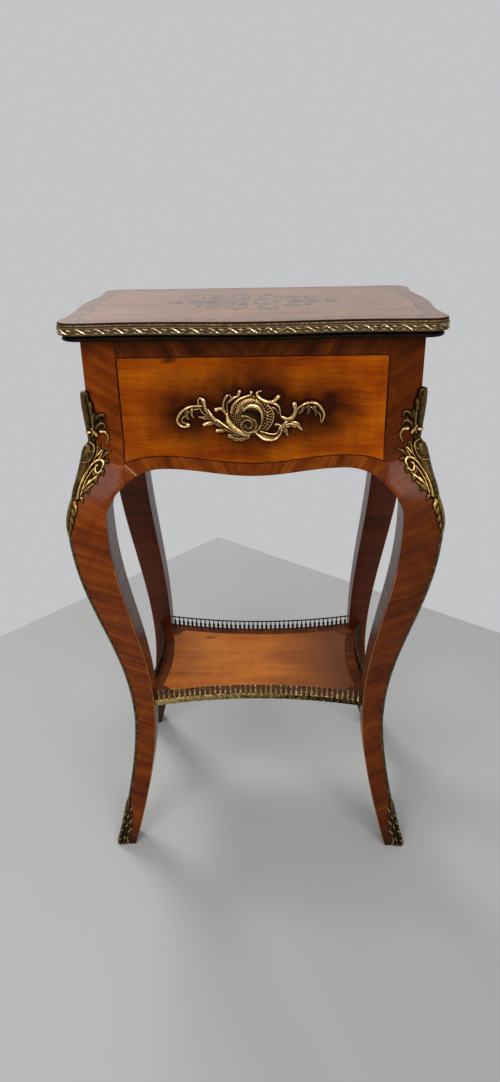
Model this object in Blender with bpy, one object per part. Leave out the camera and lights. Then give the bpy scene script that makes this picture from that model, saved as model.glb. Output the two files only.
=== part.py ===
"""A small jewellery table in the French taste: cabriole legs, a hinged serpentine lid over a lined
well, gilt-brass mounts and an undertier with a pierced gallery.

Metres, +Z up. The origin lies on the floor under the middle of the table, and the front faces -Y.
"""
import math

import bmesh
import bpy
from mathutils import Matrix

# Clearance between neighbouring pieces
GAP = 0.0003

# Overall height, and the case between the four posts
TABLE_HEIGHT = 0.740
CASE_WIDTH = 0.370
CASE_DEPTH = 0.256
POST_WIDTH = 0.036
PANEL_THICKNESS = 0.014

# Apron along the foot of each panel, measured down from the top of the case
APRON_MIDDLE_DROP = 0.157
APRON_RISE = 0.0095
APRON_SHOULDER = 0.044
APRON_EAR = 0.0145

# Cabriole legs: heights, and how far the outer faces stand from the faces of the case
ANKLE_HEIGHT = 0.200
KNEE_HEIGHT = 0.508
POST_START_DROP = 0.105
EAR_SWEEP = 0.028
FOOT_FLARE = 0.0212
FOOT_SWEEP = 1.6
ANKLE_INSET = 0.014
KNEE_BULGE = 0.0305
FOOT_WIDTH = 0.0255
ANKLE_WIDTH = 0.0280
KNEE_WIDTH = 0.045
SHIN_LAG = 1.05
CALF_LEAD = 0.85
ARRIS_CHAMFER = 0.0025
POST_CHAMFER = 0.0008

# Lid: plan at the hollows of its wavy edge, how far the middles and the corners stand out from them,
# and the share of a side that its bow takes
LID_WIDTH = 0.407
LID_DEPTH = 0.290
LID_FRONT_BOW = 0.008
LID_SIDE_BOW = 0.005
LID_EAR = 0.003
LID_BOW_SHARE = 0.667
LID_CORNER_RADIUS = 0.020
LID_THICKNESS = 0.020
LID_LIP = 0.0042
LID_EASE = 0.0009
LID_REBATE = 0.008
BRASS_HEIGHT = 0.0085
BRASS_PROUD = 0.0027
BEAD_INSET = 0.0027
BEAD_EASE = 0.0012

# Butt hinges at the back of the lid
HINGE_INSET = 0.085
HINGE_LENGTH = 0.030
LEAF_DEPTH = 0.0105
LEAF_THICKNESS = 0.0012
KNUCKLE_RADIUS = 0.0022
PIN_RADIUS = 0.0009
HINGE_SIDES = 10

# Mirror let into the underside of the lid
MIRROR_WIDTH = 0.264
MIRROR_DEPTH = 0.162
MIRROR_THICKNESS = 0.003
FRAME_WIDTH = 0.014
FRAME_LAP = 0.005
FRAME_THICKNESS = 0.0035

# Case floor and the fitted well that stands on it
FLOOR_DROP = 0.133
FLOOR_THICKNESS = 0.008
WELL_WALL = 0.005
WELL_BASE = 0.004
LEDGE_DROP = 0.008
LEDGE_THICKNESS = 0.005

# Undertier and its gallery
SHELF_TOP = 0.2215
SHELF_THICKNESS = 0.008
SHELF_EDGE_AT_LEG = 0.015
SHELF_FRONT_HOLLOW = 0.0165
SHELF_SIDE_HOLLOW = 0.012
GALLERY_HEIGHT = 0.0150
STRIP_THICKNESS = 0.0014
STRIP_LIP = 0.0006
RAIL_HEIGHT = 0.0018
RAIL_WIDTH = 0.0026
BALUSTER_PITCH = 0.0071
BALUSTER_RADIUS = 0.0021
BALUSTER_SIDES = 4
GALLERY_SPANS = 10

# Brass mounts
KNEE_MOUNT_FOOT = 0.504
KNEE_MOUNT_TOP_DROP = 0.052
KNEE_TIP_WIDTH = 0.005
KNEE_SCROLL_WIDTH = 0.022
KNEE_SCROLL_PLACE = 0.47
KNEE_SCROLL_BELOW = 0.24
KNEE_SCROLL_ABOVE = 0.09
KNEE_LEAF_WIDTH = 0.016
KNEE_LEAF_PLACE = 0.76
KNEE_LEAF_SPREAD = 0.11
KNEE_MOUNT_THICKNESS = 0.0045
SABOT_HEIGHT = 0.056
SABOT_WIDTH = 0.017
SABOT_THICKNESS = 0.0035
MOUNT_EDGE = 0.0012
STRIP_RADIUS = 0.0014
FLOOR_CLEARANCE = 0.0006
FRONT_MOUNT_DROP = 0.084
FRONT_MOUNT_OFFSET = -0.003
SHELL_HALF_WIDTH = 0.028
SHELL_HALF_HEIGHT = 0.0245
SHELL_HEIGHT = 0.0085
SHELL_LOBES = 11
STRAND_WIDTH = 0.0085
STRAND_HEIGHT = 0.0055

# Strands of the front mount from the middle of its shell, in half widths of the shell: the left arm,
# its scroll, the right arm, its arch and leaf, and two curls at the top of the shell
FRONT_MOUNT_STRANDS = (
    ((-0.29, -0.71), (-1.14, -0.46), (-1.61, 0.00), (-1.89, 0.46)),
    ((-1.57, -0.07), (-2.14, 0.43), (-2.64, 0.29), (-2.89, -0.07), (-2.61, -0.36)),
    ((0.29, -0.71), (0.79, -0.93), (1.07, -0.57), (1.46, -0.18), (1.71, 0.32)),
    ((1.50, -0.14), (2.00, 0.43), (2.50, 0.39), (2.89, -0.11)),
    ((1.14, -0.50), (1.50, -0.36), (1.96, -0.57)),
    ((-0.64, 0.57), (-1.00, 0.64), (-0.57, 1.00)),
    ((0.36, 0.71), (0.79, 0.64), (1.04, 0.82)),
)

# Derived levels and half sizes
CASE_TOP = TABLE_HEIGHT - LID_THICKNESS - GAP
LID_UNDER = TABLE_HEIGHT - LID_THICKNESS
HALF_WIDTH = CASE_WIDTH / 2
HALF_DEPTH = CASE_DEPTH / 2
APRON_MIDDLE = CASE_TOP - APRON_MIDDLE_DROP
APRON_PEAK = APRON_MIDDLE + APRON_RISE
EAR_HEIGHT = APRON_PEAK - APRON_EAR
EAR_FOOT = max(KNEE_HEIGHT, EAR_HEIGHT - EAR_SWEEP)
POST_START = CASE_TOP - POST_START_DROP
FLOOR_TOP = CASE_TOP - FLOOR_DROP
LEDGE_TOP = CASE_TOP - LEDGE_DROP
WELL_HALF_WIDTH = HALF_WIDTH - POST_WIDTH - GAP
WELL_HALF_DEPTH = HALF_DEPTH - POST_WIDTH - GAP
INSIDE_HALF_WIDTH = HALF_WIDTH - PANEL_THICKNESS - GAP
INSIDE_HALF_DEPTH = HALF_DEPTH - PANEL_THICKNESS - GAP
HINGE_Y = HALF_DEPTH + KNUCKLE_RADIUS + 2 * GAP
HINGE_Z = CASE_TOP + GAP / 2
LEAF_BACK = HINGE_Y - KNUCKLE_RADIUS - GAP
SHELF_UNDER = SHELF_TOP - SHELF_THICKNESS
KNEE_MOUNT_TOP = CASE_TOP - KNEE_MOUNT_TOP_DROP
ROOT_HALF = math.sqrt(0.5)

SIDES = ("front", "right", "back", "left")
CORNERS = {
    "front_left": (-1, -1),
    "front_right": (1, -1),
    "back_left": (-1, 1),
    "back_right": (1, 1),
}


def clear_scene():
    for item in list(bpy.data.objects):
        bpy.data.objects.remove(item)


def make_material(name, colour, roughness, metallic=0.0):
    material = bpy.data.materials.new(name)
    material.use_nodes = True
    shader = material.node_tree.nodes["Principled BSDF"]
    shader.inputs["Base Color"].default_value = (*colour, 1.0)
    shader.inputs["Roughness"].default_value = roughness
    shader.inputs["Metallic"].default_value = metallic
    material.diffuse_color = (*colour, 1.0)
    return material


def finish(name, shape, material, smooth=False):
    """Turn a bmesh into a named object with its faces pointing out."""
    bmesh.ops.recalc_face_normals(shape, faces=shape.faces)
    mesh = bpy.data.meshes.new(name)
    shape.to_mesh(mesh)
    shape.free()
    mesh.materials.append(material)
    if smooth:
        mesh.shade_smooth()
        mesh.set_sharp_from_angle(angle=math.radians(35))
    item = bpy.data.objects.new(name, mesh)
    bpy.context.scene.collection.objects.link(item)
    return item


def add_loft(shape, rings):
    """Add a solid through closed rings of equal length, capped at both ends."""
    loops = [[shape.verts.new(point) for point in ring] for ring in rings]
    for low, high in zip(loops, loops[1:]):
        count = len(low)
        for index in range(count):
            following = (index + 1) % count
            shape.faces.new((low[index], low[following], high[following], high[index]))
    shape.faces.new(list(reversed(loops[0])))
    shape.faces.new(loops[-1])


def loft(name, rings, material, smooth=False):
    shape = bmesh.new()
    add_loft(shape, rings)
    return finish(name, shape, material, smooth)


def plate(name, outline, low, high, material):
    """Raise a plan outline from one height to another."""
    rings = [[(x, y, height) for x, y in outline] for height in (low, high)]
    return loft(name, rings, material)


def box(name, low, high, material):
    outline = ((low[0], low[1]), (high[0], low[1]), (high[0], high[1]), (low[0], high[1]))
    return plate(name, outline, low[2], high[2], material)


def rod(name, centre, radius, start, end, material, smooth=False):
    """A round bar along X, centred on a point of the YZ plane."""
    rings = []
    for x in (start, end):
        ring = []
        for step in range(HINGE_SIDES):
            turn = 2 * math.pi * step / HINGE_SIDES
            ring.append((x, centre[0] + radius * math.cos(turn), centre[1] + radius * math.sin(turn)))
        rings.append(ring)
    return loft(name, rings, material, smooth)


def combine(base, others, operation):
    """Join other solids to the base, or cut them out of it, and then remove them."""
    for other in others:
        modifier = base.modifiers.new(other.name, "BOOLEAN")
        modifier.operation = operation
        modifier.object = other
        modifier.solver = "EXACT"
    graph = bpy.context.evaluated_depsgraph_get()
    mesh = bpy.data.meshes.new_from_object(base.evaluated_get(graph))
    base.modifiers.clear()
    base.data = mesh
    for other in others:
        bpy.data.objects.remove(other)
    return base


def ease(share):
    """A smooth step from 0 to 1."""
    return (1 - math.cos(math.pi * share)) / 2


def spread(start, end, count):
    return [start + (end - start) * step / count for step in range(count + 1)]


def leg_outer(height):
    """How far a leg's outer faces stand outside the case at a height."""
    if height < ANKLE_HEIGHT:
        share = (ANKLE_HEIGHT - height) / ANKLE_HEIGHT
        return -ANKLE_INSET + (FOOT_FLARE + ANKLE_INSET) * share ** FOOT_SWEEP
    if height < KNEE_HEIGHT:
        share = (height - ANKLE_HEIGHT) / (KNEE_HEIGHT - ANKLE_HEIGHT)
        return -ANKLE_INSET + (KNEE_BULGE + ANKLE_INSET) * ease(share ** SHIN_LAG)
    if height < POST_START:
        return KNEE_BULGE * (1 - ease((height - KNEE_HEIGHT) / (POST_START - KNEE_HEIGHT)))
    return 0.0


def leg_inner(height):
    """Where a leg's inner faces stand, measured from the faces of the case."""
    if height < ANKLE_HEIGHT:
        share = height / ANKLE_HEIGHT
        return leg_outer(height) - FOOT_WIDTH - (ANKLE_WIDTH - FOOT_WIDTH) * share
    if height < KNEE_HEIGHT:
        share = (height - ANKLE_HEIGHT) / (KNEE_HEIGHT - ANKLE_HEIGHT)
        return leg_outer(height) - ANKLE_WIDTH - (KNEE_WIDTH - ANKLE_WIDTH) * ease(share ** CALF_LEAD)
    knee_inner = KNEE_BULGE - KNEE_WIDTH
    if height < EAR_FOOT:
        return knee_inner
    if height < EAR_HEIGHT:
        share = (height - EAR_FOOT) / (EAR_HEIGHT - EAR_FOOT)
        return knee_inner + (-POST_WIDTH - knee_inner) * share ** 2
    return -POST_WIDTH


def leg_chamfer(height):
    if height < KNEE_HEIGHT:
        return ARRIS_CHAMFER
    if height < POST_START:
        share = ease((height - KNEE_HEIGHT) / (POST_START - KNEE_HEIGHT))
        return ARRIS_CHAMFER + (POST_CHAMFER - ARRIS_CHAMFER) * share
    return POST_CHAMFER


def at_corner(corner, across, along, height):
    """A point given by its distances outside the two faces of the case at a corner."""
    sign_x, sign_y = CORNERS[corner]
    return (sign_x * (HALF_WIDTH + across), sign_y * (HALF_DEPTH + along), height)


def leg_heights():
    """Heights of the plan sections through a leg, from foot to post."""
    heights = spread(0, ANKLE_HEIGHT, 7)[:-1]
    heights += spread(ANKLE_HEIGHT, KNEE_HEIGHT, 9)[:-1]
    heights += spread(KNEE_HEIGHT, EAR_FOOT, 1)[:-1]
    heights += spread(EAR_FOOT, EAR_HEIGHT, 4)[:-1]
    heights += spread(EAR_HEIGHT, POST_START, 4)
    heights.append(CASE_TOP)
    return heights


def leg_face(height):
    """The outer face of a leg as it is made, straight between its sections."""
    heights = leg_heights()
    for low, high in zip(heights, heights[1:]):
        if height <= high:
            share = (height - low) / (high - low)
            return leg_outer(low) + (leg_outer(high) - leg_outer(low)) * share
    return 0.0


def heights_on_leg(low, high):
    """Heights for a casting that follows a leg: its own ends, the leg's sections and points between."""
    levels = [low] + [height for height in leg_heights() if low < height < high] + [high]
    halves = [(below + above) / 2 for below, above in zip(levels, levels[1:])]
    return sorted(levels + halves)


def make_leg(corner, material):
    rings = []
    for height in leg_heights():
        outer = leg_outer(height)
        inner = leg_inner(height)
        shoulder = outer - leg_chamfer(height)
        plan = ((inner, inner), (outer, inner), (outer, shoulder), (shoulder, outer), (inner, outer))
        rings.append([at_corner(corner, across, along, height) for across, along in plan])
    return loft(f"leg_{corner}", rings, material)


def apron_height(place, half_span):
    """Lower edge of a panel at a place along it: a low swell in the middle and an ear at each leg."""
    place = abs(place)
    peak_place = half_span - APRON_SHOULDER
    if place <= peak_place:
        return APRON_MIDDLE + APRON_RISE * ease(place / peak_place)
    return APRON_PEAK - APRON_EAR * ((place - peak_place) / APRON_SHOULDER) ** 2


def make_panel(side, material):
    lengthwise = side in ("front", "back")
    half_span = (HALF_WIDTH if lengthwise else HALF_DEPTH) - POST_WIDTH - GAP
    face = HALF_DEPTH if lengthwise else HALF_WIDTH
    sign = -1 if side in ("front", "left") else 1
    outline = [(half_span, CASE_TOP), (-half_span, CASE_TOP)]
    outline += [(place, apron_height(place, half_span)) for place in spread(-half_span, half_span, 24)]
    rings = []
    for level in (face, face - PANEL_THICKNESS):
        if lengthwise:
            rings.append([(place, sign * level, height) for place, height in outline])
        else:
            rings.append([(sign * level, place, height) for place, height in outline])
    return loft(f"panel_{side}", rings, material)


def cross_outline(half_width, half_depth, notch_x, notch_y):
    """A rectangle with its four corners cut out, for a board that fits round the posts."""
    quarter = ((half_width, notch_y), (notch_x, notch_y), (notch_x, half_depth))
    outline = list(quarter)
    outline += [(-x, y) for x, y in reversed(quarter)]
    outline += [(-x, -y) for x, y in quarter]
    outline += [(x, -y) for x, y in reversed(quarter)]
    return outline


def make_case_inside(carcase, lining):
    """The floor, the four lined boards of the well, its base and the ledge round its mouth."""
    outline = cross_outline(INSIDE_HALF_WIDTH, INSIDE_HALF_DEPTH, WELL_HALF_WIDTH, WELL_HALF_DEPTH)
    pieces = [plate("case_floor", outline, FLOOR_TOP - FLOOR_THICKNESS, FLOOR_TOP, carcase)]
    low = FLOOR_TOP + GAP
    ledge_under = LEDGE_TOP - LEDGE_THICKNESS
    high = ledge_under - GAP
    mouth_x = WELL_HALF_WIDTH - WELL_WALL
    mouth_y = WELL_HALF_DEPTH - WELL_WALL
    end_y = mouth_y - GAP
    wide = WELL_HALF_WIDTH
    deep = WELL_HALF_DEPTH
    pieces += [
        box("well_front", (-wide, -deep, low), (wide, -mouth_y, high), lining),
        box("well_back", (-wide, mouth_y, low), (wide, deep, high), lining),
        box("well_left", (-wide, -end_y, low), (-mouth_x, end_y, high), lining),
        box("well_right", (mouth_x, -end_y, low), (wide, end_y, high), lining),
        box("well_base", (GAP - mouth_x, -end_y, low), (mouth_x - GAP, end_y, low + WELL_BASE), lining),
    ]
    ledge = plate("well_ledge", outline, ledge_under, LEDGE_TOP, carcase)
    mouth_low = (-mouth_x, -mouth_y, ledge_under - GAP)
    mouth = box("mouth", mouth_low, (mouth_x, mouth_y, LEDGE_TOP + GAP), carcase)
    pieces.append(combine(ledge, [mouth], "DIFFERENCE"))
    return pieces


def lid_edge(side, inset):
    """Plan points of one side of the lid, from the middle of one corner to the middle of the next."""
    half_width = LID_WIDTH / 2 - inset
    half_depth = LID_DEPTH / 2 - inset
    radius = LID_CORNER_RADIUS
    lengthwise = side in ("front", "back")
    reach = (half_width if lengthwise else half_depth) + LID_EAR - radius
    level = half_depth if lengthwise else half_width
    bow = {"front": LID_FRONT_BOW, "back": 0.0}.get(side, LID_SIDE_BOW)
    spans = {"front": 10, "back": 6}.get(side, 8)
    centre = level + LID_EAR - radius
    points = []
    for turn in (-45, -22.5):
        angle = math.radians(turn)
        points.append((-reach + radius * math.sin(angle), centre + radius * math.cos(angle)))
    for place in spread(-reach, reach, spans):
        share = abs(place) / reach
        swell = bow * math.cos(math.pi / 2 * min(share / LID_BOW_SHARE, 1)) ** 2
        ear = LID_EAR * ease(max(share - LID_BOW_SHARE, 0) / (1 - LID_BOW_SHARE))
        points.append((place, level + swell + ear))
    for turn in (22.5, 45):
        angle = math.radians(turn)
        points.append((reach + radius * math.sin(angle), centre + radius * math.cos(angle)))
    turned = {
        "front": [(along, -out) for along, out in points],
        "right": [(out, along) for along, out in points],
        "back": [(-along, out) for along, out in points],
        "left": [(-out, -along) for along, out in points],
    }
    return turned[side]


def lid_outline(inset):
    outline = []
    for side in SIDES:
        outline += lid_edge(side, inset)[:-1]
    return outline


def make_lid_moulding(name, side, profile, material):
    """A mitred length of moulding along one side of the lid, from a profile of insets and heights."""
    shorten = {"front": (1, 0), "right": (0, 1), "back": (-1, 0), "left": (0, -1)}[side]
    paths = [lid_edge(side, inset) for inset, _ in profile]
    last = len(paths[0]) - 1
    rings = []
    for index in range(last + 1):
        pull = {0: GAP, last: -GAP}.get(index, 0.0) * ROOT_HALF
        ring = []
        for path, (_, height) in zip(paths, profile):
            x, y = path[index]
            ring.append((x + pull * shorten[0], y + pull * shorten[1], height))
        rings.append(ring)
    return loft(name, rings, material, smooth=True)


def make_lid_mouldings(brass, ebony):
    back = LID_REBATE - GAP
    brass_top = TABLE_HEIGHT - LID_LIP - GAP
    brass_foot = brass_top - BRASS_HEIGHT
    brass_profile = [(back, brass_foot)]
    for turn in spread(-75, 75, 4):
        angle = math.radians(turn)
        out = BRASS_PROUD * math.cos(angle)
        brass_profile.append((-out, brass_foot + BRASS_HEIGHT * (1 + math.sin(angle)) / 2))
    brass_profile.append((back, brass_top))
    bead_top = brass_foot - GAP
    bead_profile = (
        (back, LID_UNDER),
        (BEAD_INSET + BEAD_EASE, LID_UNDER),
        (BEAD_INSET, LID_UNDER + BEAD_EASE),
        (BEAD_INSET, bead_top - BEAD_EASE),
        (BEAD_INSET + BEAD_EASE, bead_top),
        (back, bead_top),
    )
    pieces = []
    for side in SIDES:
        pieces.append(make_lid_moulding(f"lid_brass_{side}", side, brass_profile, brass))
        bead = make_lid_moulding(f"lid_bead_{side}", side, bead_profile, ebony)
        if side == "back":
            channels = knuckle_channels(LID_UNDER - GAP, HINGE_Z + KNUCKLE_RADIUS + GAP, ebony)
            combine(bead, channels, "DIFFERENCE")
        pieces.append(bead)
    return pieces


def hinge_places():
    """Where the middle of each hinge lies along the case."""
    reach = HALF_WIDTH - HINGE_INSET
    return {"left": -reach, "right": reach}


def knuckle_channels(low, high, material):
    """Cutters for the two slots in which the hinge knuckles lie, open at the back."""
    reach = HINGE_LENGTH / 2 + GAP
    cutters = []
    for side, place in hinge_places().items():
        start = (place - reach, LEAF_BACK, low)
        end = (place + reach, HINGE_Y + LID_DEPTH, high)
        cutters.append(box(f"channel_{side}", start, end, material))
    return cutters


def leaf_recesses(low, high, material):
    """Cutters for the two shallow seats of the hinge leaves."""
    reach = HINGE_LENGTH / 2 + GAP
    cutters = []
    for side, place in hinge_places().items():
        start = (place - reach, LEAF_BACK - LEAF_DEPTH - GAP, low)
        end = (place + reach, HINGE_Y, high)
        cutters.append(box(f"seat_{side}", start, end, material))
    return cutters


def make_lid_board(veneer):
    stack = (
        (LID_REBATE, LID_UNDER),
        (LID_REBATE, TABLE_HEIGHT - LID_LIP),
        (0.0, TABLE_HEIGHT - LID_LIP),
        (0.0, TABLE_HEIGHT - LID_EASE),
        (LID_EASE, TABLE_HEIGHT),
    )
    rings = []
    for inset, height in stack:
        rings.append([(x, y, height) for x, y in lid_outline(inset)])
    board = loft("lid_board", rings, veneer)
    seat_x = MIRROR_WIDTH / 2 + GAP
    seat_y = MIRROR_DEPTH / 2 + GAP
    low = LID_UNDER - GAP
    seat_top = LID_UNDER + MIRROR_THICKNESS + GAP
    cutters = [box("glass_seat", (-seat_x, -seat_y, low), (seat_x, seat_y, seat_top), veneer)]
    cutters += leaf_recesses(low, LID_UNDER + LEAF_THICKNESS + GAP, veneer)
    cutters += knuckle_channels(low, HINGE_Z + KNUCKLE_RADIUS + GAP, veneer)
    return combine(board, cutters, "DIFFERENCE")


def make_mirror(glass, frame_wood):
    half_x = MIRROR_WIDTH / 2
    half_y = MIRROR_DEPTH / 2
    low = (-half_x, -half_y, LID_UNDER)
    pane = box("mirror_glass", low, (half_x, half_y, LID_UNDER + MIRROR_THICKNESS), glass)
    top = LID_UNDER - GAP
    foot = top - FRAME_THICKNESS
    reach = FRAME_WIDTH - FRAME_LAP
    frame_low = (-half_x - reach, -half_y - reach, foot)
    frame = box("mirror_frame", frame_low, (half_x + reach, half_y + reach, top), frame_wood)
    sight_x = half_x - FRAME_LAP
    sight_y = half_y - FRAME_LAP
    splay = FRAME_THICKNESS
    rings = []
    for spread_out, height in ((0.0, top + GAP), (0.0, top - GAP), (splay, foot - GAP)):
        x = sight_x + spread_out
        y = sight_y + spread_out
        rings.append([(-x, -y, height), (x, -y, height), (x, y, height), (-x, y, height)])
    sight = loft("sight", rings, frame_wood)
    return [pane, combine(frame, [sight], "DIFFERENCE")]


def make_hinge(side, place, brass, steel):
    """A three-knuckle butt hinge: two knuckles on the case leaf, one on the lid leaf, and the pin."""
    half = HINGE_LENGTH / 2
    split = HINGE_LENGTH / 6
    axis = (HINGE_Y, HINGE_Z)
    leaves = {
        "case": (CASE_TOP - LEAF_THICKNESS, ((-half, -split - GAP / 2), (split + GAP / 2, half))),
        "lid": (LID_UNDER, ((-split + GAP / 2, split - GAP / 2),)),
    }
    pieces = []
    for owner, (foot, knuckles) in leaves.items():
        start = (place - half, LEAF_BACK - LEAF_DEPTH, foot)
        end = (place + half, LEAF_BACK, foot + LEAF_THICKNESS)
        leaf = box(f"hinge_{owner}_leaf_{side}", start, end, brass)
        joined = []
        for index, (low, high) in enumerate(knuckles):
            tab_start = (place + low, LEAF_BACK - GAP, foot)
            tab_end = (place + high, HINGE_Y, foot + LEAF_THICKNESS)
            joined.append(box(f"tab_{index}", tab_start, tab_end, brass))
            joined.append(rod(f"knuckle_{index}", axis, KNUCKLE_RADIUS, place + low, place + high, brass))
        combine(leaf, joined, "UNION")
        bore = rod("bore", axis, PIN_RADIUS + GAP, place - HINGE_LENGTH, place + HINGE_LENGTH, brass)
        pieces.append(combine(leaf, [bore], "DIFFERENCE"))
    pieces.append(rod(f"hinge_pin_{side}", axis, PIN_RADIUS, place - half, place + half, steel, smooth=True))
    return pieces


def shelf_notch():
    """Plan place of the corner where the undertier meets the inner faces of a leg."""
    inner = min(leg_inner(SHELF_UNDER), leg_inner(SHELF_TOP), leg_inner((SHELF_UNDER + SHELF_TOP) / 2))
    return HALF_WIDTH + inner - GAP, HALF_DEPTH + inner - GAP


def shelf_edge(side):
    """The half length of one hollow side, and its distance from the middle as a function of place."""
    notch_x, notch_y = shelf_notch()
    lengthwise = side in ("front", "back")
    reach, level = (notch_x, notch_y) if lengthwise else (notch_y, notch_x)
    hollow = SHELF_FRONT_HOLLOW if lengthwise else SHELF_SIDE_HOLLOW

    def distance(place):
        return level + SHELF_EDGE_AT_LEG - hollow * (1 - (place / reach) ** 2)

    return reach, distance


def turn_to_side(side, along, out):
    """A plan point by its place along a side and its distance out from the middle."""
    turned = {
        "front": (along, -out),
        "right": (out, along),
        "back": (-along, out),
        "left": (-out, -along),
    }
    return turned[side]


def make_shelf(veneer):
    outline = []
    notch_x, notch_y = shelf_notch()
    for side, sign_x, sign_y in (("front", 1, -1), ("right", 1, 1), ("back", -1, 1), ("left", -1, -1)):
        reach, distance = shelf_edge(side)
        places = spread(-reach, reach, GALLERY_SPANS)
        outline += [turn_to_side(side, place, distance(place)) for place in places]
        outline.append((sign_x * notch_x, sign_y * notch_y))
    return plate("undertier_board", outline, SHELF_UNDER, SHELF_TOP, veneer)


def gallery_band(side, low, high, thickness):
    """Rings of a thin upright band that follows one hollow side of the undertier."""
    reach, distance = shelf_edge(side)
    rings = []
    for place in spread(-reach, reach, GALLERY_SPANS):
        near = distance(place) + GAP + (STRIP_THICKNESS - thickness) / 2
        section = ((near, low), (near + thickness, low), (near + thickness, high), (near, high))
        rings.append([(*turn_to_side(side, place, out), height) for out, height in section])
    return rings


def make_gallery(side, brass):
    """A nailed strip along the edge of the undertier, with balusters that carry a rail."""
    strip_top = SHELF_TOP + STRIP_LIP
    rail_top = SHELF_TOP + GALLERY_HEIGHT
    rail_foot = rail_top - RAIL_HEIGHT
    strip = loft(f"gallery_{side}", gallery_band(side, SHELF_UNDER, strip_top, STRIP_THICKNESS), brass)
    rail = loft("rail", gallery_band(side, rail_foot, rail_top, RAIL_WIDTH), brass)
    reach, distance = shelf_edge(side)
    count = int(2 * reach / BALUSTER_PITCH)
    sink = RAIL_HEIGHT / 3
    foot = strip_top - sink
    head = rail_foot + sink
    turning = ((0.0, 0.42), (0.33, 1.0), (0.68, 0.42), (1.0, 0.5))
    shape = bmesh.new()
    for index in range(count):
        place = BALUSTER_PITCH * (index - (count - 1) / 2)
        out = distance(place) + GAP + STRIP_THICKNESS / 2
        rings = []
        for share, size in turning:
            ring = []
            for step in range(BALUSTER_SIDES):
                turn = 2 * math.pi * step / BALUSTER_SIDES
                along = place + BALUSTER_RADIUS * size * math.cos(turn)
                across = out + BALUSTER_RADIUS * size * math.sin(turn)
                ring.append((*turn_to_side(side, along, across), foot + (head - foot) * share))
            rings.append(ring)
        add_loft(shape, rings)
    balusters = finish("balusters", shape, brass)
    return combine(strip, [balusters, rail], "UNION")


def make_corner_mount(name, corner, low, high, width_at, thickness_at, material):
    """A casting that wraps the outer corner of a leg, with its width and thickness along its height."""
    rings = []
    for height in heights_on_leg(low, high):
        share = (height - low) / (high - low)
        wing = width_at(share)
        swell = thickness_at(share)
        face = leg_face(height) + GAP
        crest = face + swell
        edge = face + MOUNT_EDGE
        end = face - wing
        plan = (
            (face, end), (edge, end), (crest, edge), (edge, crest), (end, edge), (end, face), (face, face),
        )
        rings.append([at_corner(corner, across, along, height) for across, along in plan])
    return loft(name, rings, material, smooth=True)


def make_knee_mount(corner, brass):
    """A scroll on the knee with a leaf above it, both drawn in to a tip at their ends."""
    def width_at(share):
        reach = KNEE_SCROLL_BELOW if share < KNEE_SCROLL_PLACE else KNEE_SCROLL_ABOVE
        scroll = math.exp(-((share - KNEE_SCROLL_PLACE) / reach) ** 2)
        leaf = math.exp(-((share - KNEE_LEAF_PLACE) / KNEE_LEAF_SPREAD) ** 2)
        return KNEE_TIP_WIDTH + KNEE_SCROLL_WIDTH * scroll + KNEE_LEAF_WIDTH * leaf

    def thickness_at(share):
        return MOUNT_EDGE + (KNEE_MOUNT_THICKNESS - MOUNT_EDGE) * math.sin(math.pi * (0.1 + 0.8 * share))

    name = f"knee_mount_{corner}"
    return make_corner_mount(name, corner, KNEE_MOUNT_FOOT, KNEE_MOUNT_TOP, width_at, thickness_at, brass)


def make_sabot(corner, brass):
    """A toe casting that narrows upwards, with the waves of its leaves along both edges."""
    def width_at(share):
        return SABOT_WIDTH * (1 - 0.8 * share ** 1.5) * (1 + 0.12 * math.sin(5 * math.pi * share))

    def thickness_at(share):
        return MOUNT_EDGE + (SABOT_THICKNESS - MOUNT_EDGE) * (1 - share ** 2)

    name = f"sabot_{corner}"
    return make_corner_mount(name, corner, FLOOR_CLEARANCE, SABOT_HEIGHT, width_at, thickness_at, brass)


def make_arris_strip(corner, brass):
    """A thin round strip on the chamfer of a leg's outer corner, between the two mounts."""
    seat = (STRIP_RADIUS + GAP) * ROOT_HALF - ARRIS_CHAMFER / 2
    sides = 6
    rings = []
    for height in heights_on_leg(SABOT_HEIGHT + GAP, KNEE_MOUNT_FOOT - GAP)[::2]:
        centre = leg_face(height) + seat
        ring = []
        for step in range(sides):
            turn = 2 * math.pi * (step + 0.5) / sides + math.pi / 4
            across = centre + STRIP_RADIUS * math.cos(turn)
            along = centre + STRIP_RADIUS * math.sin(turn)
            ring.append(at_corner(corner, across, along, height))
        rings.append(ring)
    return loft(f"arris_strip_{corner}", rings, brass, smooth=True)


def on_front(across, depth, up):
    """A point of the front mount, from the middle of its shell and the face of the front panel."""
    return (FRONT_MOUNT_OFFSET + across, -HALF_DEPTH - depth, CASE_TOP - FRONT_MOUNT_DROP + up)


def through(points, share):
    """A place on the smooth curve through a strand's points, counted from 0 to 1."""
    run = len(points) - 1
    index = min(int(share * run), run - 1)
    t = share * run - index
    here, there = points[index], points[index + 1]
    before = points[index - 1] if index else tuple(2 * a - b for a, b in zip(here, there))
    after = points[index + 2] if index + 2 <= run else tuple(2 * b - a for a, b in zip(here, there))
    place = []
    for p0, p1, p2, p3 in zip(before, here, there, after):
        slope_in = (p2 - p0) / 2
        slope_out = (p3 - p1) / 2
        rise = p2 - p1
        square = 3 * rise - 2 * slope_in - slope_out
        cube = slope_in + slope_out - 2 * rise
        place.append(p1 + t * (slope_in + t * (square + t * cube)))
    return place


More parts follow.
